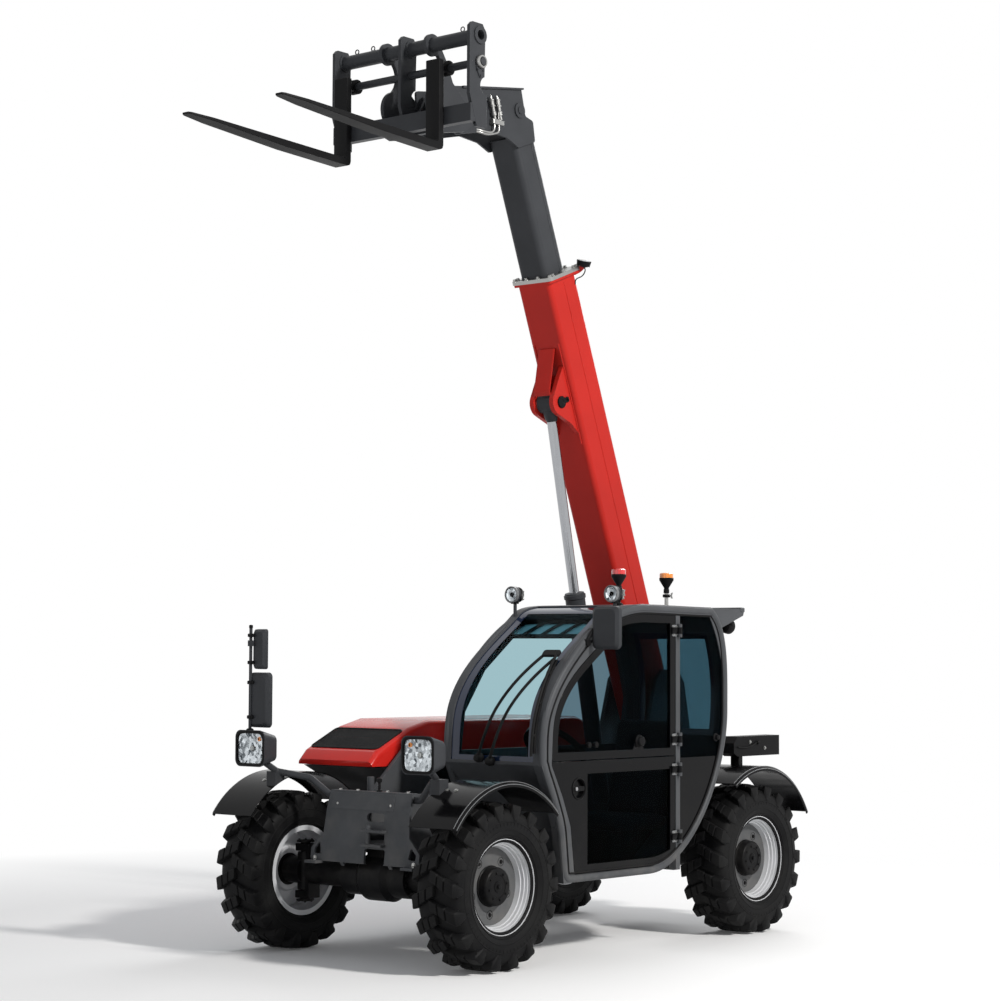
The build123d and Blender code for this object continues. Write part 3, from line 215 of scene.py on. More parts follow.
def texturedPaint(name, colour, rough, grainSize=900.0, grain=0.00012, dust=0.2, shine=0.12):
    # satin machine paint with the fine pebbled skin of powder coat
    s = Shader(name)
    slow = s.ramp(s.noise(5.0, 4.0), 0.3, 0.7)
    base = s.blend(shade(colour, 0.94), shade(colour, 1.16), slow)
    dusty, film = dustOver(s, base, 0.3, 1.1, dust)
    return s.finish(s.surface(
        Base_Color=dusty, Roughness=slow * 0.08 + (rough - 0.04) + film * 0.3, Specular_IOR_Level=shine,
        Normal=s.bump(s.noise(grainSize, 2.0), grain)))


def metal(name, colour, rough, streak=(1.0, 1.0, 1.0)):
    # bare metal with faint tool marks drawn out along one axis
    s = Shader(name)
    marks = s.noise(60.0, 4.0, 0.5, streak)
    return s.finish(s.surface(
        Base_Color=s.blend(shade(colour, 0.8), shade(colour), marks), Metallic=1.0,
        Roughness=s.ramp(marks, 0.2, 0.8) * 0.14 + rough, Normal=s.bump(marks, 0.00003)))


def rubber(name, colour, worn):
    # moulded rubber: dark, with greyer scuffed patches and a fine skin
    s = Shader(name)
    slow = s.ramp(s.noise(7.0, 5.0), 0.35, 0.7)
    return s.finish(s.surface(
        Base_Color=s.blend(shade(colour), shade(worn), slow), Roughness=slow * 0.2 + 0.50,
        Specular_IOR_Level=0.10, Normal=s.bump(s.noise(700.0, 3.0), 0.00015)))


def tintedGlass(name, tint, frit=None):
    # tinted pane, a little wavy; frit(s) is 1 where the black printed edge lies
    s = Shader(name)
    clear = s.surface(
        Base_Color=shade(tint), Roughness=0.0, IOR=1.05, Transmission_Weight=1.0, Specular_IOR_Level=0.9,
        Normal=s.bump(s.noise(2.5, 1.0), 0.002))
    if not frit:
        return s.finish(clear)
    black = s.surface(Base_Color=(0.008, 0.018, 0.050, 1.0), Roughness=s.noise(4.0) * 0.1 + 0.05)
    return s.finish(s.node("MixShader", {}, {0: frit(s), 1: clear, 2: black}))


def paintedReflections(name, low, high):
    # a silvered bowl of many small mirrors, with painted reflections: each cell of the pattern is painted its
    # own brightness, dark or bright, for what that small mirror reflects
    s = Shader(name)
    cells = s.node("TexVoronoi", {}, {"Vector": s.place((1.0, 1.0, 0.8)), "Scale": 62.0}, out=1)
    share = s.node("SeparateXYZ", {}, {0: cells}, out=0)
    return s.finish(s.surface(
        Base_Color=s.blend(shade(low), shade(high), share), Metallic=1.0, Roughness=share * 0.1 + 0.08))


def lens(name, colour, ribs):
    # moulded lamp glass in its own colour, with ribs across it
    s = Shader(name)
    wave = s.node("Math", {"operation": "SINE"}, {0: s.axis(1) * ribs})
    return s.finish(s.surface(
        Base_Color=s.blend(shade(colour, 0.8), shade(colour), s.noise(30.0)), Roughness=0.16,
        Coat_Weight=1.0, Normal=s.bump(wave, 0.0006)))


def paneFrit(rightY, leftY, low, high):
    # 1 along the sides, foot and top of a pane: y outside (rightY, leftY) or z outside (low, high)
    def frit(s):
        y, z = s.axis(1), s.axis(2)
        return (y < rightY) | (y > leftY) | (z < low) | (z > high)
    return frit


materials = {
    "boom_red": paint("boom red paint", (0.46, 0.020, 0.014), 0.36, 0.05, shine=0.10),
    "hood_red": paint("hood red moulding", (0.64, 0.022, 0.016), 0.24, 0.3, grain=0.00002),
    "dark_grey": texturedPaint("dark grey paint", (0.036, 0.038, 0.042), 0.40),
    "frame_grey": texturedPaint("frame grey paint", (0.062, 0.065, 0.070), 0.40),
    "black_gloss": paint("black gloss moulding", (0.003, 0.003, 0.0035), 0.20, 0.12, 0.00003, 0.02, 0.06),
    "black_matte": texturedPaint("matt black", (0.006, 0.006, 0.0065), 0.50, dust=0.04, shine=0.08),
    "axle_black": texturedPaint(
        "black painted casting", (0.005, 0.005, 0.0055), 0.36, 300.0, 0.0004, 0.04, 0.08),
    "rim_silver": paint("silver wheel paint", (0.60, 0.61, 0.63), 0.32, 0.5, dust=0.16),
    "tyre_rubber": rubber("tyre rubber", (0.004, 0.004, 0.0045), (0.011, 0.011, 0.011)),
    "rod_chrome": metal("hard chromed rod", (0.42, 0.43, 0.45), 0.12, (1.0, 1.0, 0.05)),
    "pin_steel": metal("bare steel", (0.40, 0.40, 0.41), 0.30),
    "tinted_glass": tintedGlass("tinted glass", (0.10, 0.17, 0.21)),
    "seat_fabric": texturedPaint("seat cloth", (0.020, 0.021, 0.024), 0.8, 1600.0, 0.0006, 0.0),
    "beacon_amber": lens("amber lens", (0.90, 0.26, 0.012), 420.0),
}
special = {
    "screen": tintedGlass("windscreen glass", (0.34, 0.52, 0.565), paneFrit(0.186, 0.676, 1.104, 1.880)),
    "rearScreen": tintedGlass("rear window glass", (0.26, 0.42, 0.47), paneFrit(0.190, 0.670, 1.215, 1.745)),
    "lampGlass": tintedGlass("clear lamp glass", (0.94, 0.96, 0.97)),
    # a reflector finish whose cells are painted dark or bright: painted reflections
    "reflector": paintedReflections("reflector with painted reflections", (0.06, 0.07, 0.08), (0.82, 0.84, 0.86)),
    # a pale sheet under the roof glass: painted light
    "paintedSkylight": texturedPaint("painted roof skylight", (0.42, 0.56, 0.62), 0.5, dust=0.0),
    "mirror": metal("mirror glass", (0.80, 0.82, 0.84), 0.02),
    "zinc": metal("zinc plated steel", (0.40, 0.40, 0.39), 0.26),
    "cast": texturedPaint("pale grey fittings", (0.16, 0.165, 0.17), 0.36, 400.0, 0.0002),
    "redLens": lens("red lens", (0.62, 0.012, 0.012), 420.0),
    # the wheel disc's silver in a darker grey: painted shade, for the shadow inside the rim
    "discPaintedShade": texturedPaint("silver disc darkened by painted shade", (0.085, 0.087, 0.090), 0.36),
    "boot": rubber("black rubber seal", (0.006, 0.006, 0.0065), (0.014, 0.014, 0.014)),
}
print("materials", len(materials) + len(special))

slotOf = {part["node"]: part["material_slot"] for part in frame["record"]["subparts"]}
finishOf = {
    "windshield": special["screen"], "cab_windows": special["rearScreen"], "boom_collar": special["zinc"],
}
for name, piece in nodes.items():
    piece.data.materials.clear()
    piece.data.materials.append(finishOf.get(name, materials[slotOf[name]]))
print("nodes dressed", len(nodes))


# Shapes: each is (points, groups of faces), with the points in the vehicle's axes
def gridFaces(rows, columns, loop):
    # quads between the neighbours in a grid; its columns always close on themselves
    i = np.arange(rows if loop else rows - 1)[:, None]
    j = np.arange(columns)[None, :]
    here, there = i * columns, (i + 1) % rows * columns
    beside = (j + 1) % columns
    return np.stack((here + j, here + beside, there + beside, there + j), -1).reshape(-1, 4)


def skin(grid, loop=False):
    # a closed surface over rows of points: the rows join up, or a flat face closes each end
    rows, columns = grid.shape[:2]
    faces = [gridFaces(rows, columns, loop)]
    if not loop:
        last = (rows - 1) * columns
        faces += [np.arange(columns)[None, ::-1], (np.arange(columns) + last)[None]]
    return grid.reshape(-1, 3), faces


def join(*shapes):  # several shapes as one
    starts = np.cumsum([0] + [len(points) for points, faces in shapes])
    faces = [group + start for (points, groups), start in zip(shapes, starts) for group in groups]
    return np.vstack([points for points, groups in shapes]), faces


def unit(rows):  # each row at length 1
    rows = np.array(rows, float)
    return rows / np.linalg.norm(rows, axis=-1, keepdims=True)


def square(axis):
    # three directions at right angles, as rows: across, up, and the given axis
    w = unit(axis)
    u = unit(np.cross(left if abs(w[1]) < 0.9 else ahead, w))
    return np.stack((u, np.cross(w, u), w))


def lathe(profile, centre, axis, steps=48, loop=False):
    # point = centre + along * axis + radius * (cos a, sin a), with (along, radius) from the profile
    profile = np.array(profile, float)
    u, v, w = square(axis)
    a = np.linspace(0, 2 * pi, steps, endpoint=False)[None, :, None]
    ring = np.cos(a) * u + np.sin(a) * v
    along, radius = (profile[:, k][:, None, None] for k in (0, 1))
    return skin(np.array(centre) + along * w + radius * ring, loop)


def rounded(corners, radius, steps=5):
    # an outline with each corner replaced by a curve: (1-t)^2 a + 2t(1-t) corner + t^2 b
    c = np.array(corners, float)
    before, after = np.roll(c, 1, 0) - c, np.roll(c, -1, 0) - c
    lengths = np.linalg.norm(before, axis=1), np.linalg.norm(after, axis=1)
    cut = np.minimum(radius, 0.45 * np.minimum(*lengths))[:, None]
    a, b = c + before / lengths[0][:, None] * cut, c + after / lengths[1][:, None] * cut
    t = np.linspace(0, 1, steps)[None, :, None]
    curve = (1 - t) ** 2 * a[:, None] + 2 * t * (1 - t) * c[:, None] + t ** 2 * b[:, None]
    return curve.reshape(-1, 2)


def oblong(width, height, radius):  # a rounded rectangle about the middle
    w, h = width / 2, height / 2
    return rounded([(-w, -h), (w, -h), (w, h), (-w, h)], radius)


def plate(outline, centre, axes, low, high, edge=0.0):
    # a flat outline in the first two axes, carried along the third, its rims drawn in by edge
    outline = np.array(outline, float)
    middle = (outline.max(0) + outline.min(0)) / 2
    size = (outline.max(0) - outline.min(0)) / 2
    rows = [(low, 0), (high, 0)]
    if edge:
        rows = [(low, edge), (low + edge, 0), (high - edge, 0), (high, edge)]
    layers = []
    for level, inset in rows:
        flat = middle + (outline - middle) * (1 - inset / size)
        layers.append(np.array(centre) + flat[:, :1] * axes[0] + flat[:, 1:] * axes[1] + level * axes[2])
    return skin(np.stack(layers))


def block(low, high, edge=0.003):  # a chamfered block between two corners
    low, high = np.array(low, float), np.array(high, float)
    middle, size = (low + high) / 2, high - low
    outline = oblong(size[0], size[1], min(size[0], size[1]) * 0.2)
    return plate(outline, middle, np.eye(3), -size[2] / 2, size[2] / 2, min(edge, size[2] * 0.3))


def through(points, samples=8):
    # a smooth line through the points: Catmull-Rom between each pair
    p = np.array(points, float)
    p = np.vstack((2 * p[0] - p[1], p, 2 * p[-1] - p[-2]))
    t = np.linspace(0, 1, samples, endpoint=False)[None, :, None]
    a, b, c, d = (p[k:len(p) - 3 + k][:, None] for k in range(4))
    slope, bend, twist = c - a, 2 * a - 5 * b + 4 * c - d, 3 * b - a - 3 * c + d
    curve = 0.5 * (2 * b + slope * t + bend * t ** 2 + twist * t ** 3)
    return np.vstack((curve.reshape(-1, p.shape[1]), p[-2]))


def pipe(path, radius, steps=12, loop=False):
    # a round section carried along a path: centre + r * (cos a * across + sin a * up)
    path = np.array(path, float)
    way = unit(np.roll(path, -1, 0) - np.roll(path, 1, 0) if loop else np.gradient(path, axis=0))
    across = unit(np.cross(way, np.eye(3)[np.abs(way).max(0).argmin()]))
    up = np.cross(way, across)
    a = np.linspace(0, 2 * pi, steps, endpoint=False)[None, :, None]
    return skin(path[:, None] + radius * (np.cos(a) * across[:, None] + np.sin(a) * up[:, None]), loop)


def ribbon(path, wide, across, thick):
    # a flat bar along a path: its section is wide by thick, turned so that "across" is its width
    path, across = np.array(path, float), np.array(across, float)
    way = unit(np.gradient(path, axis=0))
    side = unit(across - way * (way @ across)[:, None])
    out = np.cross(way, side)
    u, v = oblong(1.0, 1.0, 0.2).T[:, None, :, None]
    return skin(path[:, None] + u * side[:, None] * wide + v * out[:, None] * thick)


def copies(shape, spots, turns=None):
    # one shape at many places: point = spot + turn . point, all worked out at once
    points, groups = shape
    spots = np.array(spots, float)
    turns = np.broadcast_to(np.eye(3), (len(spots), 3, 3)) if turns is None else np.array(turns)
    many = spots[:, None] + np.einsum("nij,ki->nkj", turns, points)
    steps = (np.arange(len(spots)) * len(points))[:, None, None]
    return many.reshape(-1, 3), [(group[None] + steps).reshape(-1, group.shape[1]) for group in groups]


def boltHead(radius, height):
    # a washer under a six-sided head whose top edge is chamfered, standing on the plane z = 0
    seat = height * 0.2
    washer = lathe([(0, radius * 1.4), (seat, radius * 1.4)], (0, 0, 0), upward, 12)
    sides = [(seat, radius), (height * 0.85, radius), (height, radius * 0.8)]
    return join(washer, lathe(sides, (0, 0, 0), upward, 6))


def bolts(spots, axis, radius=0.009, height=0.010):  # the same bolt at each spot, heads along the axis
    return copies(boltHead(radius, height), spots, np.broadcast_to(square(axis), (len(spots), 3, 3)))


def ringSpots(centre, axis, radius, count, start=0.0):  # places evenly round a circle
    u, v, w = square(axis)
    a = (start + 2 * pi * np.arange(count) / count)[:, None]
    return np.array(centre) + radius * (np.cos(a) * u + np.sin(a) * v)


def addPiece(name, shape, slot, body, finish=None, replaces=(), sharp=35.0):
    points, groups = shape
    mesh = bpy.data.meshes.new(name)
    mesh.from_pydata((points - origin).tolist(), [], [face for group in groups for face in group.tolist()])
    work = bmesh.new()
    work.from_mesh(mesh)
    bmesh.ops.recalc_face_normals(work, faces=work.faces)
    work.to_mesh(mesh)
    work.free()
    mesh.shade_smooth()
    mesh.set_sharp_from_angle(angle=radians(sharp))
    mesh.materials.append(finish or materials[slot])
    piece = bpy.data.objects.new(name, mesh)
    bpy.context.scene.collection.objects.link(piece)
    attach(piece, body)
    if replaces:
        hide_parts(*replaces)
    return piece


def bodyOf(node):  # the body that a CAD node rides on
    return body_of(nodes[node])[0]


def nodeExtent(name, axes=np.eye(3)):
    # the lowest and highest reach of a CAD node along given directions, in the vehicle's axes
    mesh = nodes[name].data
    points = np.empty(len(mesh.vertices) * 3, np.float32)
    mesh.vertices.foreach_get("co", points)
    points = (points.reshape(-1, 3) + origin) @ axes.T
    return points.min(0), points.max(0)


wheels = [(f"{end}_{hand}", x, side) for end, x in axles for hand, side in hands]

# Tyres: a closed carcass ring under two rows of sweeping lugs
tyre = {
    "lugs": 18, "steps": 120, "bite": 0.010, "inner": [(0.110, 0.2318), (-0.110, 0.2318)],
    # the carcass section as (across, radius), from the crown round the outer side to the bead
    "section": [
        (0.000, 0.4120), (0.040, 0.4115), (0.080, 0.4090), (0.110, 0.4030), (0.128, 0.3940), (0.138, 0.3800),
        (0.1435, 0.3600), (0.1455, 0.3440), (0.1475, 0.3420), (0.1475, 0.3390), (0.1455, 0.3370),
        (0.1465, 0.3180), (0.1460, 0.3000), (0.1475, 0.2985), (0.1475, 0.2960), (0.1450, 0.2945),
        (0.1410, 0.2800), (0.1350, 0.2690), (0.1370, 0.2670), (0.1365, 0.2630), (0.1310, 0.2600),
        (0.1260, 0.2560), (0.1180, 0.2440), (0.1140, 0.2330),
    ],
    # each lug from past the crown, over the shoulder and down the side, at stations of
    # (across, top, floor, sweep, half width, notch), in millimetres
    "stations": [
        (-14, 440, 404, -6, 29, 0), (30, 440, 404, 14, 32, 0), (34, 440, 404, 16, 32, 1),
        (38, 440, 404, 18, 32, 1), (42, 440, 404, 20, 32, 0), (78, 439, 400, 38, 35, 0),
        (82, 439, 400, 40, 35, 1), (86, 438, 398, 42, 35, 1), (90, 438, 398, 44, 35, 0),
        (126, 434, 386, 60, 39, 0), (139, 429, 372, 66, 40, 0),
        (146.5, 415, 350, 69, 38, 0), (149, 380, 330, 71, 28, 0), (148.5, 350, 322, 72, 16, 0),
    ],
    # a lug's own section as (share of its half width, share of its height)
    "lugSection": [
        (-1.22, 0.0), (-1.0, 0.72), (-0.90, 0.95), (-0.78, 1.0),
        (0.78, 1.0), (0.90, 0.95), (1.0, 0.72), (1.22, 0.0),
    ],
    "shoulder": 0.139, "ribDepth": 0.030, "ticks": 72, "tickRadius": 0.328, "tickFace": 0.1462,
}


def aroundAxle(angles):  # turns about the axle, one for each angle
    c, s = np.cos(angles), np.sin(angles)
    o, l = 0 * angles, 1 + 0 * angles
    return np.stack([np.stack(row, -1) for row in ((c, o, -s), (o, l, o), (s, o, c))], 1)


def lugRow(x, side, hand, half):
    # one lug: a section of eight points carried over the stations, then turned to each place round the tyre
    across, top, floor, sweep, wide, notch = np.array(tyre["stations"], float).T
    across, top, floor = across / 1000, top / 1000 - notch * tyre["bite"], floor / 1000
    # past the shoulder the lug is a rib on the side
    over = np.clip((across - tyre["shoulder"]) / 0.008, 0, 1)
    radius, lugs = machine["tyreRadius"], tyre["lugs"]
    shares = np.array(tyre["lugSection"])
    height = floor[:, None] + (top - floor)[:, None] * shares[None, :, 1]
    inward = over[:, None] * (1 - shares[None, :, 1]) * tyre["ribDepth"]
    angle = (sweep[:, None] + wide[:, None] * shares[None, :, 0]) / 1000 / radius
    a = pi / 2 - (angle + half * pi / lugs)
    y = hand * (across[:, None] - inward)
    lug = np.stack((height * np.cos(a), np.broadcast_to(y, a.shape), height * np.sin(a)), -1)
    spots = np.broadcast_to((x, side * machine["track"], radius), (lugs, 3))
    return copies(skin(lug), spots, aroundAxle(2 * pi * np.arange(lugs) / lugs))


def makeTyre(name, x, side):
    outer = np.array(tyre["section"])
    loop = np.vstack((outer[::-1] * (-1, 1), outer[1:], tyre["inner"]))
    centre = (x, side * machine["track"], machine["tyreRadius"])
    carcass = lathe(loop, centre, left, tyre["steps"], loop=True)
    # small ticks round each side wall, each turned to point outwards
    a = np.linspace(0, 2 * pi, tyre["ticks"], endpoint=False)
    c, s, o = np.cos(a), np.sin(a), 0 * a
    spin = np.stack([np.stack(row, -1) for row in ((-s, o, c), (c, o, s), (o, 1 + o, o))], 1)
    w, h = 0.0012, 0.009
    tick = plate([(-w, -h), (w, -h), (w, h), (-w, h)], (0, 0, 0), np.eye(3), -w, w, w / 2)
    r = tyre["tickRadius"]
    ticks = []
    for face in (-1, 1):
        y = centre[1] + face * tyre["tickFace"]
        ticks.append(copies(tick, np.stack((x + r * c, o + y, centre[2] + r * s), -1), spin))
    rows = [lugRow(x, side, 1, 0), lugRow(x, side, -1, 1)]
    addPiece(f"tread_{name}", join(carcass, *rows, *ticks), "tyre_rubber", f"wheel_{name}",
             replaces=[f"tyre_{name}"], sharp=28.0)


# Wheels: a stepped silver rim whose disc is darker grey as painted shade, the black hub of the final drive,
# dark stud wells with their nuts
wheel = {
    "section": [
        (-0.1220, 0.2572), (-0.1130, 0.2572), (-0.1090, 0.2317), (-0.0500, 0.2277), (-0.0380, 0.2150),
        (0.0380, 0.2150), (0.0500, 0.2277), (0.1090, 0.2317), (0.1125, 0.2560), (0.1150, 0.2592),
        (0.1195, 0.2594), (0.1228, 0.2560), (0.1226, 0.2480), (0.1120, 0.2435), (0.1108, 0.2370),
        (0.0960, 0.2330), (0.0943, 0.2270), (0.0790, 0.2235), (0.0773, 0.2180), (0.0600, 0.2150),
        (0.0582, 0.2095), (0.0400, 0.2070), (0.0290, 0.2040), (0.0262, 0.1950), (0.0225, 0.1890),
        (0.0225, 0.1120), (0.0262, 0.1060), (0.0262, 0.0900), (-0.0020, 0.0900), (-0.0020, 0.1160),
        (0.0120, 0.1260), (0.0120, 0.2060), (-0.0420, 0.2060), (-0.0540, 0.2180), (-0.1220, 0.2227),
    ],
    "disc": [
        (0.0262, 0.1040), (0.0275, 0.1060), (0.0250, 0.1120), (0.0250, 0.1880), (0.0290, 0.1950),
        (0.0310, 0.2035), (0.0200, 0.2035), (0.0200, 0.1040),
    ],
    "hub": [
        (0.0000, 0.0890), (0.0240, 0.0890), (0.0262, 0.1080), (0.0340, 0.1080), (0.0365, 0.1040),
        (0.0720, 0.1010), (0.0785, 0.0980), (0.0835, 0.0900), (0.0848, 0.0600), (0.0818, 0.0580),
        (0.0818, 0.0300), (0.0850, 0.0285), (0.0862, 0.0240),
    ],
    "cup": [(0.0200, 0.0240), (0.0262, 0.0240), (0.0262, 0.0220), (0.0235, 0.0200)],
    "studCircle": 0.150, "studs": 5, "studFoot": 0.0190,
    "hubCircle": 0.071, "hubBolts": 8, "hubFace": 0.0838, "plugFoot": 0.0862,
}


def makeWheel(name, x, side):
    w, centre = wheel, np.array((x, side * machine["track"], machine["tyreRadius"]))
    axis, body = side * left, f"wheel_{name}"
    addPiece(f"rim_steps_{name}", lathe(w["section"], centre, axis, 96, loop=True), "rim_silver", body,
             replaces=[f"rim_{name}"])
    # the disc carries painted shade: the same silver, darker, for the shadow inside the rim
    addPiece(f"rim_disc_{name}", lathe(w["disc"], centre, axis, 96, loop=True), "rim_silver", body,
             special["discPaintedShade"])
    face = centre + axis * w["hubFace"]
    nuts = bolts(ringSpots(face, axis, w["hubCircle"], w["hubBolts"], 0.2), axis, 0.0065, 0.006)
    plug = bolts([centre + axis * w["plugFoot"]], axis, 0.012, 0.008)
    addPiece(f"hub_cover_{name}", join(lathe(w["hub"], centre, axis, 64), nuts, plug), "axle_black", body)
    spots = ringSpots(centre, axis, w["studCircle"], w["studs"], pi / w["studs"])
    addPiece(f"stud_wells_{name}", copies(lathe(w["cup"], (0, 0, 0), axis, 24), spots), "axle_black", body)
    studs = bolts(spots + axis * w["studFoot"], axis, 0.0110, 0.014)
    addPiece(f"wheel_nuts_{name}", studs, "pin_steel", body, materials["axle_black"])


for name, x, side in wheels:
    makeTyre(name, x, side)
    makeWheel(name, x, side)
print("wheels")

# Axles: the bolts of each cover, and the kingpins' caps
axleTrim = {
    "coverHalf": 0.235, "coverRadius": 0.088, "coverBolts": 10, "capRadius": 0.050, "capBolts": 0.035,
    "capTop": 0.602, "capFoot": 0.278,
}


def makeAxleTrim(end, x):
    t, z = axleTrim, machine["tyreRadius"]
    covers = [bolts(ringSpots((x, side * t["coverHalf"], z), side * left, t["coverRadius"], t["coverBolts"]),
                    side * left, 0.007, 0.008) for side in (-1, 1)]
    addPiece(f"axle_cover_bolts_{end}", join(*covers), "axle_black", "chassis")
    r = t["capRadius"]
    cap = [(-0.004, r), (0.004, r), (0.008, r - 0.005), (0.009, 0.02)]
    for hand, side in hands:
        caps = []
        for level, way in ((t["capTop"], 1), (t["capFoot"], -1)):
            spot = np.array((x, side * machine["kingpin"], level))
            axis = way * upward
            caps.append(lathe(cap, spot, axis, 32))
            spots = ringSpots(spot + axis * 0.008, axis, t["capBolts"], 4, 0.8)
            caps.append(bolts(spots, axis, 0.006, 0.006))
        addPiece(f"kingpin_caps_{end}_{hand}", join(*caps), "axle_black", f"steer_{end}_{hand}")


for end, x in axles:
    makeAxleTrim(end, x)
print("axles")

# The cab's side outline in front: a Hermite line through (x, z) with the slope that each point has
screenLine = {
    "points": [(0.880, 1.060), (0.850, 1.340), (0.670, 1.600), (0.328, 1.850), (-0.047, 1.935)],
    "slopes": [0, 22, 45, 65, 90],  # degrees from upright, leaning back
}


def hermite(points, slopes, samples=24):
    # a line through the points that leaves each at its own angle from upright
    p = np.array(points)
    a = np.radians(np.array(slopes, float))
    span = np.linalg.norm(np.diff(p, axis=0), axis=1)[:, None, None]
    way = np.stack((-np.sin(a), np.cos(a)), -1)
    t = np.linspace(0, 1, samples, endpoint=False)[None, :, None]
    h0, h1 = 2 * t ** 3 - 3 * t ** 2 + 1, t ** 3 - 2 * t ** 2 + t
    h2, h3 = -2 * t ** 3 + 3 * t ** 2, t ** 3 - t ** 2
    curve = h0 * p[:-1, None] + h1 * span * way[:-1, None] + h2 * p[1:, None] + h3 * span * way[1:, None]
    return curve.reshape(-1, 2)


screenCurve = hermite(screenLine["points"], screenLine["slopes"])


def onScreen(y, z, lift=0.0):
    # points on the windscreen at the given y and z, moved out along its normal by lift
    y, z = np.broadcast_arrays(np.array(y, float), np.array(z, float))
    lineX, lineZ = screenCurve.T
    wayX, wayZ = unit(np.gradient(screenCurve, axis=0)).T
    out = np.stack((np.interp(z, lineZ, wayZ), 0 * z, -np.interp(z, lineZ, wayX)), -1)
    return np.stack((np.interp(z, lineZ, lineX), y, z), -1) + out * np.array(lift)[..., None]


# Wipers: two parallel arms from the foot of the screen to a block that carries the hanging blade
wiper = {
    "feet": [(0.428, 1.090), (0.508, 1.074)], "tops": [(0.700, 1.655), (0.775, 1.615)],
    "blade": [(0.782, 1.640), (0.818, 1.380), (0.812, 1.110)], "joint": (0.740, 1.638),
    "cap": [(0, 0.026), (0.022, 0.026), (0.028, 0.021), (0.038, 0.019), (0.042, 0.013)],
    "arm": 0.0085, "low": 0.020, "lift": 0.045, "spine": 0.008, "clips": (0.2, 0.5, 0.8),
}


def screenNormal(y, z):
    return onScreen(y, z, 1.0) - onScreen(y, z)


def makeWipers():
    w, parts = wiper, []
    t = np.linspace(0, 1, 40)
    for (y0, z0), (y1, z1) in zip(w["feet"], w["tops"]):
        rise = w["low"] + (w["lift"] - w["low"]) * np.sin(pi * t)
        parts.append(pipe(onScreen(y0 + (y1 - y0) * t, z0 + (z1 - z0) * t, rise), w["arm"], 12))
        parts.append(lathe(w["cap"], onScreen(y0, z0, -0.004), screenNormal(y0, z0), 24))
    turn = square(screenNormal(*w["joint"]))
    parts.append(plate(oblong(0.045, 0.115, 0.016), onScreen(*w["joint"], 0.026), turn, -0.009, 0.010, 0.003))
    y, z = through(w["blade"], 20).T
    parts.append(pipe(onScreen(y, z, 0.030), w["spine"], 10))
    parts.append(ribbon(onScreen(y[2:-1], z[2:-1], 0.008), 0.014, left, 0.014))
    for share in w["clips"]:
        k = int(share * (len(y) - 1))
        parts.append(pipe(onScreen(y[[k, k]], z[[k, k]], (0.010, 0.034)), 0.009, 10))
    addPiece("wipers", join(*parts), "black_matte", "chassis", special["boot"])


makeWipers()

# Guard under the roof glass: slanted bars between two rails
guard = {
    "rightY": 0.215, "leftY": 0.795, "lowZ": 1.785, "highZ": 1.872, "bars": 5, "slant": 0.05,
    "sink": -0.040, "sky": -0.052,
}


def makeGuard():
    g, parts = guard, []
    for z in (g["lowZ"], g["highZ"]):
        ends = onScreen([g["rightY"], g["leftY"]], [z, z], g["sink"])
        parts.append(ribbon(ends, 0.040, (1, 0, -0.6), 0.008))
    t = np.linspace(0, 1, 6)
    for start in np.linspace(g["rightY"] - 0.01, g["leftY"] - 0.055, g["bars"]):
        path = onScreen(start + g["slant"] * t, g["lowZ"] + (g["highZ"] - g["lowZ"]) * t, g["sink"])
        parts.append(ribbon(path, 0.030, left, 0.006))
    addPiece("roof_guard", join(*parts), "black_matte", "chassis")
    # a pale sheet between the bars: painted light, for the light that falls in through the roof's glass
    middle = [0.5 * (g["rightY"] + g["leftY"])] * 5
    path = onScreen(middle, np.linspace(g["lowZ"], g["highZ"], 5), g["sky"])
    sky = ribbon(path, g["leftY"] - g["rightY"] - 0.02, left, 0.003)
    addPiece("roof_painted_skylight", sky, "tinted_glass", "chassis", special["paintedSkylight"])


makeGuard()
print("wipers and guard")

# The cab's side in (x, z): the screen's line carried on over the roof, down the back, and along the foot
cabSide = {
    "points": [(-0.047, 1.935), (-0.694, 1.927), (-0.850, 1.337), (-0.652, 0.780), (-0.094, 0.425)],
    "slopes": [90, 120, 180, 215, 270],
    "foot": [(0.689, 0.425), (0.724, 0.728), (0.793, 0.889), (0.880, 1.060)], "footTop": 1.062,
    "inset": 0.020, "leftTube": 0.022, "rightTube": 0.020, "sealInset": 0.050, "seal": 0.006,
}


def makeCabTubes():
    # one round tube along the whole side outline, and a black seal inside it on the door's side
    c = cabSide
    roof = hermite(c["points"][:2], [90, 90], 12)
    back = hermite(c["points"][1:], c["slopes"][1:])
    corner, cornerPoints = c["points"][-1], 6
    foot = rounded([corner] + c["foot"] + [(0.86, 1.3), (0.0, 1.3)], 0.06, cornerPoints)[cornerPoints:]
    foot = foot[foot[:, 1] < c["footTop"]]
    ring = np.vstack((screenCurve, roof, back, [corner], foot))
    wayX, wayZ = unit(np.roll(ring, -1, 0) - np.roll(ring, 1, 0)).T
    inward = np.stack((-wayZ, wayX), -1)
    for name, y, inset, radius, slot in (
        ("cab_tube_left", machine["cabLeft"] - 0.012, c["inset"], c["leftTube"], "frame_grey"),
        ("cab_tube_right", machine["cabRight"] + 0.016, c["inset"], c["rightTube"], "frame_grey"),
        ("cab_seal", machine["cabLeft"] - 0.001, c["sealInset"], c["seal"], "black_matte"),
    ):
        flatX, flatZ = (ring + inward * inset).T
        path = np.stack((flatX, 0 * flatX + y, flatZ), -1)
        addPiece(name, pipe(path, radius, 14, loop=True), slot, "chassis")


makeCabTubes()

# Mudguards: pale lines along the rolled edges, a painted highlight where the black lip catches the light, and
# the two bolts on each slope
fender = {
    # lines and line: the painted highlight lines along each rolled edge, as (radius, y), and their thickness
    "radius": 0.551, "boltY": (0.646, 0.710), "lines": ((0.5500, 0.8870), (0.5360, 0.8995)), "line": 0.0020,
    "arcs": {"front": (machine["axle"], 36, 138, 66.5), "rear": (-machine["axle"], 56, 152, 118.0)},
}


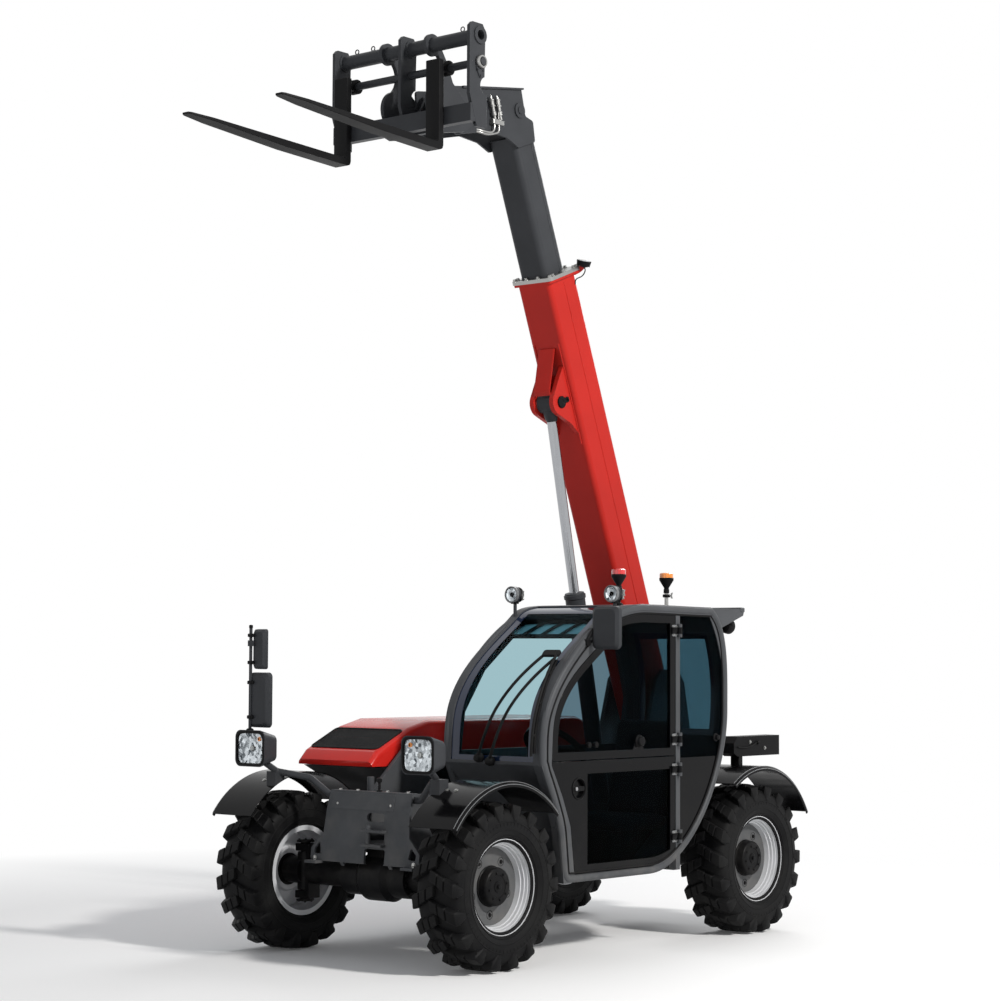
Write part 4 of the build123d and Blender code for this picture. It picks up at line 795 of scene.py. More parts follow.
def makeFenderTrim():
    for end, (x, start, stop, boltAngle) in fender["arcs"].items():
        a = np.radians(np.linspace(start + 0.6, stop - 0.6, 60))
        where = radians(boltAngle)
        out = np.array((cos(where), 0, sin(where)))
        base = np.array((x, 0, machine["tyreRadius"])) + out * fender["radius"]
        lines, heads = [], []
        for side in (-1, 1):
            for r, y in fender["lines"]:
                z = machine["tyreRadius"] + r * np.sin(a)
                path = np.stack((x + r * np.cos(a), 0 * a + side * y, z), -1)
                lines.append(pipe(path, fender["line"], 8))
            heads.append(bolts([base + side * y * left for y in fender["boltY"]], out, 0.009, 0.007))
        # pale tubes on the black edges: a painted highlight
        addPiece(f"fender_edge_highlights_{end}", join(*lines), "black_gloss", "chassis", special["cast"])
        addPiece(f"fender_bolts_{end}", join(*heads), "pin_steel", "chassis", special["zinc"])


makeFenderTrim()

# Front plate: the bolts of its cover, of its top edge and of its sides, and the small valve knob
plateTrim = {
    "lean": (1.0, 0.0, 0.114), "cover": [(1.3035, -0.231, 0.835), (1.3035, 0.163, 0.837)],
    "top": [(1.262, y, 0.906) for y in (-0.25, -0.12, 0.10, 0.25)],
    "sides": [(1.344, y, 0.535) for y in (-0.365, 0.365)], "knobPlace": (1.258, 0.035, 0.904),
    "knob": [(0, 0.016), (0.010, 0.016), (0.014, 0.008), (0.050, 0.007), (0.054, 0.014), (0.070, 0.015),
             (0.076, 0.009)],
}


def makePlateTrim():
    t = plateTrim
    heads = [bolts(t["cover"], t["lean"], 0.008, 0.006), bolts(t["top"], upward, 0.010, 0.008),
             bolts(t["sides"], t["lean"], 0.010, 0.008)]
    addPiece("front_plate_bolts", join(*heads), "pin_steel", "chassis", special["zinc"])
    addPiece("valve_knob", lathe(t["knob"], t["knobPlace"], upward, 24), "black_matte", "chassis")


makePlateTrim()

# The hood's grille: a fine black wire screen over the slats, and a rubber edge round the opening
grille = {
    "low": (1.000, 0.0, 1.105), "high": (0.730, 0.0, 1.230), "right": -0.768, "left": -0.254,
    "border": 0.032, "pitch": 0.009, "wire": 0.0036, "wireDepth": 0.0018, "above": 0.0022, "edge": 0.005,
}


def makeGrille():
    g = grille
    low, high = np.array(g["low"]), np.array(g["high"])
    up = unit(high - low)
    axes = np.array((left, up, np.cross(left, up)))
    middle = (low + high) / 2 + left * (g["left"] + g["right"]) / 2 + axes[2] * g["above"]
    wide, tall = g["left"] - g["right"], np.linalg.norm(high - low) - 2 * g["border"]
    unitSquare = [(-0.5, -0.5), (0.5, -0.5), (0.5, 0.5), (-0.5, 0.5)]
    points, groups = plate(unitSquare, (0, 0, 0), np.eye(3), -0.5, 0.5)
    parts = []
    for span, size, step in ((tall, (wide, g["wire"]), 1), (wide, (g["wire"], tall), 0)):
        count = int(span / g["pitch"])
        offsets = (np.arange(count) - (count - 1) / 2)[:, None] * span / count
        thread = (points * (*size, g["wireDepth"])) @ axes, groups
        parts.append(copies(thread, middle + offsets * axes[step]))
    addPiece("grille_screen", join(*parts), "black_matte", "hood")
    u, v = oblong(wide + 0.006, tall + 0.006, 0.028).T[:, :, None]
    edge = pipe(middle + u * axes[0] + v * axes[1], g["edge"], 8, loop=True)
    addPiece("grille_edge", edge, "black_matte", "hood", special["boot"])


makeGrille()

# Roof's rear edge: an end strip and the work lamp that hangs under it, facing back
roofRear = {
    "strip": ((-1.059, 0.190, 1.904), (-1.015, 0.845, 1.934)), "lamp": (-0.985, 0.770, 1.822),
    "way": (-1, 0, -0.1), "hanger": 1.900,
    "shell": [(-0.040, 0.020), (-0.034, 0.038), (-0.020, 0.044), (0.012, 0.046), (0.016, 0.044),
              (0.014, 0.039)],
    "glass": [(0.012, 0.0385), (0.0165, 0.036), (0.018, 0.010)],
}


def makeRoofRear():
    r = roofRear
    addPiece("roof_end_strip", block(*r["strip"], 0.005), "frame_grey", "chassis")
    x, y, z = r["lamp"]
    parts = [
        lathe(r["shell"], r["lamp"], r["way"], 32),
        pipe([(x + 0.02, y, z + 0.02), (x + 0.02, y, r["hanger"])], 0.012),
        ribbon([(x + 0.02, y - 0.05, z + 0.010), (x + 0.02, y + 0.05, z + 0.010)], 0.022, ahead, 0.006),
    ]
    addPiece("rear_work_lamp", join(*parts), "black_matte", "chassis")
    addPiece("rear_work_lamp_lens", lathe(r["glass"], r["lamp"], r["way"], 28), "tinted_glass", "chassis",
             special["cast"])


makeRoofRear()
print("cab, mudguards and grille")

# CAD nodes whose edges the maker breaks: the same mesh, merged, with its sharp edges rounded
brokenEdges = {
    "hood": 0.010, "front_plate": 0.0025, "boom_head": 0.004, "tail_lamps": 0.003, "headlamps": 0.006,
    "door_lower": 0.003, "door_upper": 0.003, "fork_left": 0.004, "fork_right": 0.004, "tool_carrier": 0.004,
    "fork_carriage": 0.003, "front_fenders": 0.002, "rear_fenders": 0.002, "chassis_frame": 0.003,
    "console": 0.008, "engine_bay": 0.004, "mirrors": 0.004,
}
merge = {"distance": 0.00002, "flat": radians(0.5), "sharp": radians(30), "bevel": radians(32)}


def breakEdges(name, width):
    mesh = nodes[name].data.copy()
    work = bmesh.new()
    work.from_mesh(mesh)
    bmesh.ops.remove_doubles(work, verts=work.verts, dist=merge["distance"])
    bmesh.ops.dissolve_limit(work, angle_limit=merge["flat"], verts=work.verts, edges=work.edges)
    work.to_mesh(mesh)
    work.free()
    mesh.shade_smooth()
    mesh.set_sharp_from_angle(angle=merge["sharp"])
    piece = bpy.data.objects.new(f"{name}_edged", mesh)
    bpy.context.scene.collection.objects.link(piece)
    bevel = piece.modifiers.new("edges", "BEVEL")
    bevel.width, bevel.segments, bevel.harden_normals = width, 2, True
    bevel.limit_method, bevel.angle_limit = "ANGLE", merge["bevel"]
    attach(piece, bodyOf(name))
    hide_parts(name)


for name, width in brokenEdges.items():
    breakEdges(name, width)
print("edges", len(brokenEdges))

# Headlamps: a dark ring, a faceted bowl with its lamp, and a clear front, one at each side
headlamp = {
    "place": (1.600, 0.620, 1.130), "width": 0.224, "height": 0.194, "border": 0.016, "corner": 0.040,
    "ring": [(-0.004, 0), (0.002, 0.1), (0.004, 0.4), (0.002, 0.9), (-0.010, 1.0)],  # (level, share inwards)
    "front": 0.008, "depth": 0.014, "back": 0.002, "rows": 7, "middle": 0.16,
    "bulb": [(0, 0.018), (0.004, 0.018), (0.010, 0.014), (0.013, 0.006)], "bulbPlace": (-0.024, 0, 0),
    "amber": [(0, 0.012), (0.006, 0.012), (0.009, 0.006)], "amberPlace": (-0.016, -0.062, 0.052),
}


def makeHeadlamp(hand, side):
    h = headlamp
    centre = np.array(h["place"]) * (1, side, 1)
    clearWide, clearHigh = h["width"] - 2 * h["border"], h["height"] - 2 * h["border"]
    inner = oblong(clearWide, clearHigh, h["corner"])
    outer = oblong(h["width"], h["height"], h["corner"] + 0.008)

    def layer(flat, level):
        return centre + flat[:, :1] * left + flat[:, 1:] * upward + level * ahead

    ring = np.stack([layer(outer + (inner - outer) * share, level) for level, share in h["ring"]])
    addPiece(f"headlamp_ring_{hand}", skin(ring, loop=True), "black_matte", "chassis")
    # bowl: the opening's own outline drawn in by r, at depth front + depth (1 - r^2), with a thin back to it
    reach = np.linspace(1.0, h["middle"], h["rows"])
    bowl = [layer(inner * r, -h["front"] - h["depth"] * (1 - r ** 2)) for r in reach]
    back = [layer(inner * r * 1.01, -h["front"] - h["back"] - h["depth"] * (1 - r ** 2)) for r in reach]
    # the bowl's finish paints dark and bright reflections into its cells
    addPiece(f"headlamp_bowl_{hand}", skin(np.stack(bowl + back[::-1]), loop=True), "rod_chrome", "chassis",
             special["reflector"], sharp=4.0)
    bulb = lathe(h["bulb"], centre + h["bulbPlace"], ahead, 20)
    addPiece(f"headlamp_bulb_{hand}", bulb, "rod_chrome", "chassis", special["zinc"])
    corner = centre + np.array(h["amberPlace"]) * (1, side, 1)
    addPiece(f"headlamp_amber_{hand}", lathe(h["amber"], corner, ahead, 20), "beacon_amber", "chassis")
    pane = oblong(clearWide - 0.002, clearHigh - 0.002, h["corner"] - 0.002)
    addPiece(f"headlamp_lens_{hand}", plate(pane, centre, frontView, -0.007, -0.002, 0.0015), "tinted_glass",
             "chassis", special["lampGlass"])


for hand, side in hands:
    makeHeadlamp(hand, side)

# Work lamps on the roof: pale ring, small bowl, clear front, cooling ribs and a wing bolt
workLamp = {
    "places": {"right": (0.300, 0.190), "left": (0.200, 0.828)}, "front": 0.036, "z": 1.990,
    "ring": [(-0.016, 0.0468), (0.001, 0.0478), (0.004, 0.0455), (0.003, 0.0405), (-0.003, 0.0395),
             (-0.008, 0.0396)],
    "bowl": [(-0.0080, 0.0392), (-0.0030, 0.0390), (-0.0060, 0.0280), (-0.0075, 0.0150),
             (-0.0075, 0.0040)],
    "cap": [(-0.0078, 0.0130), (-0.0050, 0.0130), (-0.0040, 0.0090)],
    "pane": [(-0.0022, 0.0395), (-0.0005, 0.0395), (0.0012, 0.0250), (0.0020, 0.0060)],
    "rib": [(0, 0.034), (0, 0.043), (0.003, 0.044), (0.006, 0.043), (0.006, 0.034)],
    "wing": [(-0.030, 0.0), (0.0, -0.008), (0.030, 0.0), (0.024, 0.014), (0.0, 0.006), (-0.024, 0.014)],
}
wingView = np.array((upward, left, ahead))


def makeWorkLamp(hand, x, y):
    w = workLamp
    z = w["z"]
    front = np.array((x + w["front"], y, z))

    def turned(part, steps, slot, finish=None, **more):
        profile = lathe(w[part], front, ahead, steps, **more)
        sharp = 4.0 if part == "bowl" else 35.0
        name = "lens" if part == "pane" else part
        addPiece(f"work_lamp_{name}_{hand}", profile, slot, "chassis", finish, sharp=sharp)

    turned("ring", 40, "frame_grey", special["cast"], loop=True)
    # the bowl's finish paints dark and bright reflections into its cells
    turned("bowl", 14, "rod_chrome", special["reflector"])
    turned("cap", 20, "black_matte")
    turned("pane", 32, "tinted_glass", special["lampGlass"])
    rib = lathe(w["rib"], (0, 0, 0), ahead, 28, loop=True)
    ribs = copies(rib, [(x - 0.008 - 0.010 * k, y, z) for k in range(3)])
    foot = block((x - 0.016, y - 0.018, 1.938), (x + 0.022, y + 0.018, 1.950), 0.002)
    addPiece(f"work_lamp_body_{hand}", join(ribs, foot), "black_matte", "chassis")
    wing = plate(w["wing"], (x + 0.004, y + 0.056, z - 0.004), wingView, -0.002, 0.002, 0.001)
    stalk = pipe([(x + 0.004, y + 0.040, z - 0.004), (x + 0.004, y + 0.060, z - 0.004)], 0.005)
    addPiece(f"work_lamp_wing_{hand}", join(wing, stalk), "pin_steel", "chassis", special["zinc"])


for hand, (x, y) in workLamp["places"].items():
    makeWorkLamp(hand, x, y)

# Beacons: a pole, a clamp with its wing screw, a black funnel and a low coloured drum on top
beacon = {
    "places": {"front": (0.100, 0.780), "rear": (-0.600, 0.600)}, "roof": 1.925, "z": 2.082, "pole": 0.0115,
    "funnel": [(-0.070, 0.017), (-0.048, 0.017), (-0.044, 0.014), (-0.036, 0.016), (0.006, 0.042),
               (0.018, 0.043), (0.021, 0.040)],
    "drum": [(0.0205, 0.040), (0.040, 0.040), (0.046, 0.0385), (0.050, 0.033), (0.051, 0.012)],
    "clamp": [(0, 0.012), (0, 0.020), (0.004, 0.0225), (0.014, 0.0225), (0.018, 0.020), (0.018, 0.012)],
    "foot": [(0, 0.026), (0.010, 0.020), (0.012, 0.012)], "footZ": 1.931,
    "clampDrop": 0.094, "screwDrop": 0.084,
    "ear": [(-0.016, -0.003), (0.0, -0.006), (0.016, -0.003), (0.018, 0.010), (0, 0.004), (-0.018, 0.010)],
    "lens": {"front": special["redLens"], "rear": None},
    "poleFinish": {"front": materials["black_matte"], "rear": special["zinc"]},
}
earView = np.array((upward, left, -ahead))


def makeBeacons():
    b, stands = beacon, []
    for end, (x, y) in b["places"].items():
        centre, screwZ = (x, y, b["z"]), b["z"] - b["screwDrop"]
        pole = pipe([(x, y, b["roof"]), (x, y, b["z"] - 0.06)], b["pole"], 16)
        addPiece(f"beacon_pole_{end}", pole, "pin_steel", "chassis", b["poleFinish"][end])
        stands.append(lathe(b["funnel"], centre, upward, 36))
        stands.append(lathe(b["clamp"], (x, y, b["z"] - b["clampDrop"]), upward, 24, loop=True))
        stands.append(lathe(b["foot"], (x, y, b["footZ"]), upward, 24))
        addPiece(f"beacon_drum_{end}", lathe(b["drum"], centre, upward, 36), "beacon_amber", "chassis",
                 b["lens"][end])
        screw = pipe([(x, y + 0.018, screwZ), (x, y + 0.036, screwZ)], 0.004)
        ear = plate(b["ear"], (x, y + 0.036, screwZ), earView, -0.0015, 0.0015)
        addPiece(f"beacon_screw_{end}", join(screw, ear), "pin_steel", "chassis", special["zinc"])
    addPiece("beacon_stands", join(*stands), "black_matte", "chassis", replaces=["beacons"])


makeBeacons()

# Mirrors: their silvered faces look back, with clamps and caps on the pole and the cab's arm at the left
mirrors = {
    # each face as (place, width, height)
    "faces": [((1.521, -0.612, 1.674), 0.080, 0.210), ((1.521, -0.612, 1.394), 0.154, 0.292),
              ((0.441, 0.966, 1.798), 0.176, 0.224)],
    "pole": (1.560, -0.662), "clamps": [1.300, 1.490, 1.600, 1.750], "half": 0.014,
    "top": [(0, 0.011), (0.014, 0.011), (0.018, 0.007)], "topZ": 1.790,
    "base": [(0, 0.022), (0.012, 0.020), (0.016, 0.012)], "baseZ": 1.222,
    "arm": [(0.448, 0.945, 1.800), (0.450, 0.900, 1.802), (0.462, 0.878, 1.785), (0.500, 0.868, 1.728)],
    "clasp": ((0.482, 0.852, 1.700), (0.516, 0.884, 1.736)),
}


def makeMirrors():
    m = mirrors
    panes = [plate(oblong(w, h, 0.14 * w), place, backView, -0.004, 0.001, 0.001)
             for place, w, h in m["faces"]]
    addPiece("mirror_panes", join(*panes), "rod_chrome", "chassis", special["mirror"])
    (x, y), half, parts = m["pole"], m["half"], []
    for z in m["clamps"]:
        parts.append(block((x - half, y - half, z - 0.010), (x + half, y + 0.026, z + 0.010), 0.003))
        parts.append(bolts([(x + half, y + 0.018, z)], ahead, 0.005, 0.005))
    parts.append(lathe(m["top"], (x, y, m["topZ"]), upward, 16))
    parts.append(lathe(m["base"], (x, y, m["baseZ"]), upward, 20))
    addPiece("mirror_clamps", join(*parts), "black_matte", "chassis")
    arm = pipe(through(m["arm"], 8), 0.010, 12)
    addPiece("mirror_arm_left", join(arm, block(*m["clasp"], 0.004)), "black_matte", "chassis")


makeMirrors()

# Tail lamps: a red pane in each box end, and bolts and a short lead on each outer side
tailLamp = {
    "inset": 0.050, "z": 1.100, "bolts": ((0.16, 1.085), (0.32, 1.125)),
    "plugAt": (0.24, 1.120), "off": 0.006,
    "lead": ((0.26, 1.118), (0.32, 1.098), (0.39, 1.092), (0.455, 1.096)),
    "plug": [(0, 0.012), (0.012, 0.012), (0.016, 0.008)],
}


def makeTailLamps():
    t = tailLamp
    low, high = nodeExtent("tail_lamps")
    for hand, side in hands:
        rear, face = low[0], side * high[1]
        red = plate(oblong(0.084, 0.104, 0.010), (rear, side * (high[1] - t["inset"]), t["z"]), backView,
                    -0.001, 0.004, 0.0015)
        addPiece(f"tail_lens_{hand}", red, "beacon_amber", "chassis", special["redLens"])
        heads = bolts([(rear + x, face, z) for x, z in t["bolts"]], side * left, 0.008, 0.008)
        addPiece(f"tail_box_bolts_{hand}", heads, "pin_steel", "chassis", special["zinc"])
        start = (rear + t["plugAt"][0], face, t["plugAt"][1])
        lead = [start] + [(rear + x, face + side * t["off"], z) for x, z in t["lead"]]
        wire = pipe(through(lead, 8), 0.0045, 8)
        plug = lathe(t["plug"], start, side * left, 20)
        addPiece(f"tail_box_lead_{hand}", join(wire, plug), "black_matte", "chassis", special["boot"])


makeTailLamps()
print("lamps and mirrors")

# Door furniture on the left: the handle cup, the latch and the small knobs; hinge leaves and screws
door = {
    "cup": (0.557, 0.926), "knobs": [(0.480, 1.160), (0.418, 1.160)], "latch": (0.018, 1.168),
    "ring": [(-0.002, 0.060), (0.003, 0.060), (0.006, 0.057), (0.005, 0.053), (-0.006, 0.050),
             (-0.006, 0.056)],
    "lever": [(-0.046, -0.012), (0.050, -0.018), (0.050, 0.018), (-0.046, 0.012)],
    "lock": [(0, 0.010), (0.005, 0.010), (0.006, 0.008)],
    "knob": [(-0.004, 0.011), (0.006, 0.011), (0.008, 0.016), (0.018, 0.0165), (0.022, 0.013)],
    "big": [(0.010, 0.036), (0.014, 0.036), (0.020, 0.030), (0.032, 0.028), (0.036, 0.024),
            (0.037, 0.010)],
    "quarter": (-0.733, 0.854, 1.172),
    "turn": [(0, 0.024), (0.006, 0.024), (0.010, 0.016), (0.024, 0.015), (0.027, 0.010)],
    "hingeX": -0.326, "hinges": {"door_lower": (0.620, 1.000), "door_upper": (1.170, 1.790)},
}


def makeDoorTrim():
    d, face = door, machine["doorFace"]
    x, z = d["cup"]
    cup = lathe(d["ring"], (x, face, z), left, 40, loop=True)
    lever = plate(rounded(d["lever"], 0.010), (x, face - 0.002, z), sideView, -0.006, 0.008, 0.003)
    addPiece("door_handle", join(cup, lever), "black_matte", "door_lower")
    addPiece("door_lock", lathe(d["lock"], (x + 0.030, face + 0.006, z), left, 20), "pin_steel", "door_lower")
    small = [lathe(d["knob"], (x, face - 0.004, z), left, 24) for x, z in d["knobs"]]
    x, z = d["latch"]
    big = lathe(d["big"], (x, face - 0.006, z), left, 32)
    addPiece("door_knobs", join(*small, big), "black_matte", "door_upper")
    addPiece("quarter_knob", lathe(d["turn"], d["quarter"], left, 24), "black_matte", "chassis")
    x = d["hingeX"]
    for body, heights in d["hinges"].items():
        leaf = oblong(0.058, 0.066, 0.012)
        leaves = [plate(leaf, (x, face, z), sideView, 0.0, 0.004, 0.0012) for z in heights]
        spots = [(x + dx, face + 0.004, z + dz)
                 for z in heights for dx in (-0.014, 0.016) for dz in (-0.02, 0.02)]
        addPiece(f"{body}_hinge_leaves", join(*leaves), "pin_steel", body, special["cast"])
        screws = bolts(spots, left, 0.0055, 0.005)
        addPiece(f"{body}_hinge_screws", screws, "pin_steel", body, special["zinc"])


makeDoorTrim()
print("door trim")

# The boom's own axes: along it, to the left, and above it
tilt = radians(machine["boomAngle"])
boomAxes = np.array(((cos(tilt), 0, sin(tilt)), (0, 1, 0), (-sin(tilt), 0, cos(tilt))))
pivot = np.array((machine["pivotX"], 0, machine["pivotZ"]))


def onBoom(points):  # (along, left, above) from the pivot, as points in the vehicle's axes
    return pivot + np.array(points, float) @ boomAxes


boomTrim = {
    # weld seams as (how far out to the side, height above, start, end, radius, slot, body)
    "boom_seams": (0.1230, -0.045, -0.02, 2.60, 0.0022, "boom_red", "boom"),
    "boom_inner_seams": (0.1029, -0.030, 1.02, 3.48, 0.0014, "dark_grey", "boom_slide"),
    "lamp": (2.676, 0.176, 0.118), "lampWay": (0.92, 0.3, 0.25),
    "lampBody": [(-0.030, 0.014), (-0.024, 0.030), (-0.018, 0.040), (0.006, 0.044), (0.010, 0.044),
                 (0.011, 0.038)],
    "lampLens": [(0.009, 0.0375), (0.0115, 0.036), (0.0125, 0.010)], "fins": 10, "finCircle": 0.037,
    "bracket": [(2.628, 0.118, 0.070), (2.636, 0.142, 0.096), (2.652, 0.166, 0.110)],
    "lead": [(2.655, 0.172, 0.112), (2.628, 0.180, 0.108), (2.600, 0.160, 0.095), (2.588, 0.128, 0.070),
             (2.560, 0.1235, 0.055)],
    "collarEdge": 0.020, "collarEnd": 0.05,
}


def makeBoomTrim():
    b = boomTrim
    low, high = nodeExtent("boom_collar", boomAxes) - pivot @ boomAxes.T
    face, edge = high[0], b["collarEdge"]
    half = high[1] - edge
    spots = [(face, y, z) for z in (high[2] - edge, low[2] + edge) for y in np.linspace(-half, half, 4)]
    levels = np.linspace(low[2] + b["collarEnd"], high[2] - b["collarEnd"], 3)
    spots += [(face, side * half, z) for side in (-1, 1) for z in levels]
    heads = bolts(onBoom(spots), boomAxes[0], 0.011, 0.014)
    addPiece("collar_bolts", heads, "pin_steel", "boom", special["zinc"])
    for name in ("boom_seams", "boom_inner_seams"):
        wide, above, start, end, radius, slot, body = b[name]
        seams = [pipe(onBoom([(along, side * wide, above) for along in (start, end)]), radius, 8)
                 for side in (-1, 1)]
        addPiece(name, join(*seams), slot, body)
    # round lamp on a bracket at the boom's end, tipped up along it
    spot, way = onBoom(b["lamp"]), np.array(b["lampWay"]) @ boomAxes
    fin = block((-0.002, -0.002, -0.012), (0.002, 0.002, 0.012), 0.001)
    fins = copies(fin, ringSpots(spot - unit(way) * 0.012, way, b["finCircle"], b["fins"]))
    addPiece("boom_lamp", join(lathe(b["lampBody"], spot, way, 36), fins), "black_matte", "boom")
    addPiece("boom_lamp_lens", lathe(b["lampLens"], spot, way, 32), "tinted_glass", "boom", special["cast"])
    bracket = ribbon(through(onBoom(b["bracket"]), 6), 0.030, boomAxes[0], 0.006)
    addPiece("boom_lamp_bracket", bracket, "boom_red", "boom")
    lead = pipe(through(onBoom(b["lead"]), 8), 0.0035, 8)
    addPiece("boom_lamp_lead", lead, "black_matte", "boom", special["boot"])


makeBoomTrim()

# Lift cylinder: its base and the eye between the lugs, in the vehicle's axes and along the boom
lift = {"base": (-0.780, 0.0, 0.650), "eye": (1.928, 0.0, -0.283), "pinFace": 0.0925}


# Pin heads: a stepped round head, and a keeper plate with its bolt beside it
def pinHead(spot, axis, radius, keeper):
    spot, k, r = np.array(spot), np.array(keeper), radius
    profile = [(-0.002, r), (0.005, r), (0.008, r - 0.003), (0.008, r * 0.45), (0.006, r * 0.38)]
    head = lathe(profile, spot, axis, 32)
    axes = np.array((np.cross(axis, k), k, axis))
    leaf = plate(oblong(r * 0.9, r * 1.3, 0.006), spot + k * r * 1.25, axes, -0.001, 0.007, 0.0015)
    return join(head, leaf, bolts([spot + k * r * 1.5 + axis * 0.007], axis, 0.007, 0.008))


def makePins():
    pins = {
        "boom_pin_heads": ("chassis", pivot, nodeExtent("boom_pin")[1][1], 0.050, upward),
        "lift_base_pin_heads": ("chassis", lift["base"], lift["pinFace"], 0.034, -ahead),
        "lift_eye_pin_heads": ("boom", onBoom(lift["eye"]), lift["pinFace"], 0.036, boomAxes[2]),
    }
    for name, (body, (x, _, z), y, radius, keeper) in pins.items():
        heads = [pinHead((x, side * y, z), side * left, radius, keeper) for side in (1, -1)]
        addPiece(name, join(*heads), "pin_steel", body, materials["axle_black"])


makePins()

# Lift lugs: the plate that bridges them and the weld along each; the rod's dark eye, its neck and the gland
liftTrim = {
    "bridge": [(2.235, 0, -0.193), (2.110, 0, -0.268), (2.020, 0, -0.322), (1.985, 0, -0.330)],
    "bridgeWide": 0.120,
    "weld": [(2.262, -0.188), (1.640, -0.188)], "weldY": 0.092, "eyeRadius": 0.0595, "eyeHalf": 0.0545,
    "neck": [(0.030, 0.046), (0.072, 0.044), (0.098, 0.036), (0.112, 0.031)],
    "grease": (0.075, 0.042), "barrel": 1.395,
    "gland": [(-0.030, 0.062), (-0.026, 0.066), (-0.006, 0.066), (-0.003, 0.060), (0.006, 0.058),
              (0.009, 0.044)],
}


def makeLiftTrim():
    t = liftTrim
    bridge = ribbon(through(onBoom(t["bridge"]), 5), t["bridgeWide"], left, 0.008)
    addPiece("lift_bridge", bridge, "boom_red", "boom")
    welds = [pipe(onBoom([(a, side * t["weldY"], z) for a, z in t["weld"]]), 0.0045, 8) for side in (-1, 1)]
    addPiece("lug_welds", join(*welds), "boom_red", "boom")
    eye, base = onBoom(lift["eye"]), np.array(lift["base"])
    down = unit(base - eye)
    half, radius = t["eyeHalf"], t["eyeRadius"]
    shell = [(-half, radius - 0.004), (-half + 0.004, radius + 0.001), (half - 0.004, radius + 0.001),
             (half, radius - 0.004)]
    grease = bolts([eye + down * t["grease"][0] + left * t["grease"][1]], left, 0.006, 0.008)
    eyeShape = join(lathe(shell, eye, left, 40), lathe(t["neck"], eye, down, 32), grease)
    addPiece("lift_rod_eye", eyeShape, "dark_grey", bodyOf("lift_rod"))
    gland = lathe(t["gland"], base - down * t["barrel"], -down, 40)
    addPiece("lift_gland", gland, "dark_grey", bodyOf("lift_barrel"))


makeLiftTrim()

# Boom head: the two couplers on their block and the bent pipes under them
headTrim = {
    "face": 0.115, "out": 0.138, "pipe": 0.0065, "shifts": (0.0, 0.040),
    # each coupler from its foot to its tip, as (x, z)
    "couplers": [((0.434, 4.720), (0.476, 4.852)), ((0.383, 4.728), (0.422, 4.860))],
    "stem": [(0.000, 0.009), (0.022, 0.009), (0.025, 0.0145), (0.046, 0.0145), (0.050, 0.011),
             (0.072, 0.011), (0.075, 0.0165), (0.082, 0.0165), (0.085, 0.0135), (0.108, 0.0135),
             (0.111, 0.0160), (0.118, 0.0160), (0.122, 0.009), (0.138, 0.007)],
}


def makeHeadTrim():
    h, out, parts = headTrim, headTrim["out"], []
    for (x0, z0), (x1, z1) in h["couplers"]:
        parts.append(lathe(h["stem"], (x0, out, z0), (x1 - x0, 0, z1 - z0), 24))
    parts.append(block((0.366, h["face"], 4.694), (0.462, out + 0.014, 4.722), 0.003))
    parts.append(block((0.404, h["face"], 4.722), (0.414, out + 0.008, 4.770), 0.003))
    for shift in h["shifts"]:
        bend = [(0.440 - shift, out, 4.696), (0.441 - shift, out, 4.668), (0.458 - shift, out, 4.646)]
        bend += [(x, out - inward, z - shift * 0.3)
                 for x, inward, z in ((0.490, 0.002, 4.638), (0.545, 0.010, 4.640), (0.585, 0.040, 4.650))]
        parts.append(pipe(through(bend, 8), h["pipe"], 12))
    addPiece("head_couplers", join(*parts), "pin_steel", bodyOf("boom_head"), special["zinc"])


makeHeadTrim()

# Fork carriage: lifting eyes on the top tube, the silver collars of the fork shaft and their lock plates
carriageTrim = {
    "tube": (1.017, 5.033), "eyes": (-0.405, -0.280, 0.395),
    "eyeRadius": 0.013, "eyeRise": 0.053, "wire": 0.0032,
    "stub": [(0, 0.008), (0.004, 0.008), (0.005, 0.005)], "stubRise": 0.0385,
    "shaft": (1.018, 4.884), "half": 0.5205,
    "collar": [(0.000, 0.026), (0.000, 0.036), (0.006, 0.038), (0.020, 0.038), (0.026, 0.034),
               (0.026, 0.026)],
    "leaf": [(-0.030, 0.030), (0.030, 0.030), (0.034, -0.030), (0.004, -0.088), (-0.012, -0.088),
             (-0.034, -0.030)],
    "leafThick": 0.006, "screws": ((-0.022, -0.045), (0.022, -0.045), (-0.002, -0.076)),
}


def makeCarriageTrim():
    c, body = carriageTrim, bodyOf("fork_carriage")
    a = np.linspace(0, 2 * pi, 24, endpoint=False)
    (x, z), r, rings = c["tube"], c["eyeRadius"], []
    for y in c["eyes"]:
        path = np.stack((0 * a + x, y + r * np.cos(a), z + c["eyeRise"] + r * np.sin(a)), -1)
        rings.append(pipe(path, c["wire"], 8, loop=True))
        rings.append(lathe(c["stub"], (x, y, z + c["stubRise"]), upward, 12))
    addPiece("carriage_eyes", join(*rings), "black_matte", body)
    (x, z), collars, locks = c["shaft"], [], []
    for side in (-1, 1):
        axis, spot = side * left, (x, side * c["half"], z)
        collars.append(lathe(c["collar"], spot, axis, 36, loop=True))
        axes = np.array((ahead, upward, axis))
        locks.append(plate(rounded(c["leaf"], 0.008), spot, axes, 0.0, c["leafThick"], 0.0015))
        spots = [(x + dx, side * (c["half"] + c["leafThick"]), z + dz) for dx, dz in c["screws"]]
        locks.append(bolts(spots, axis, 0.006, 0.006))
    addPiece("shaft_collars", join(*collars), "pin_steel", body, special["zinc"])
    addPiece("shaft_locks", join(*locks), "dark_grey", body)


makeCarriageTrim()
print("boom trim")

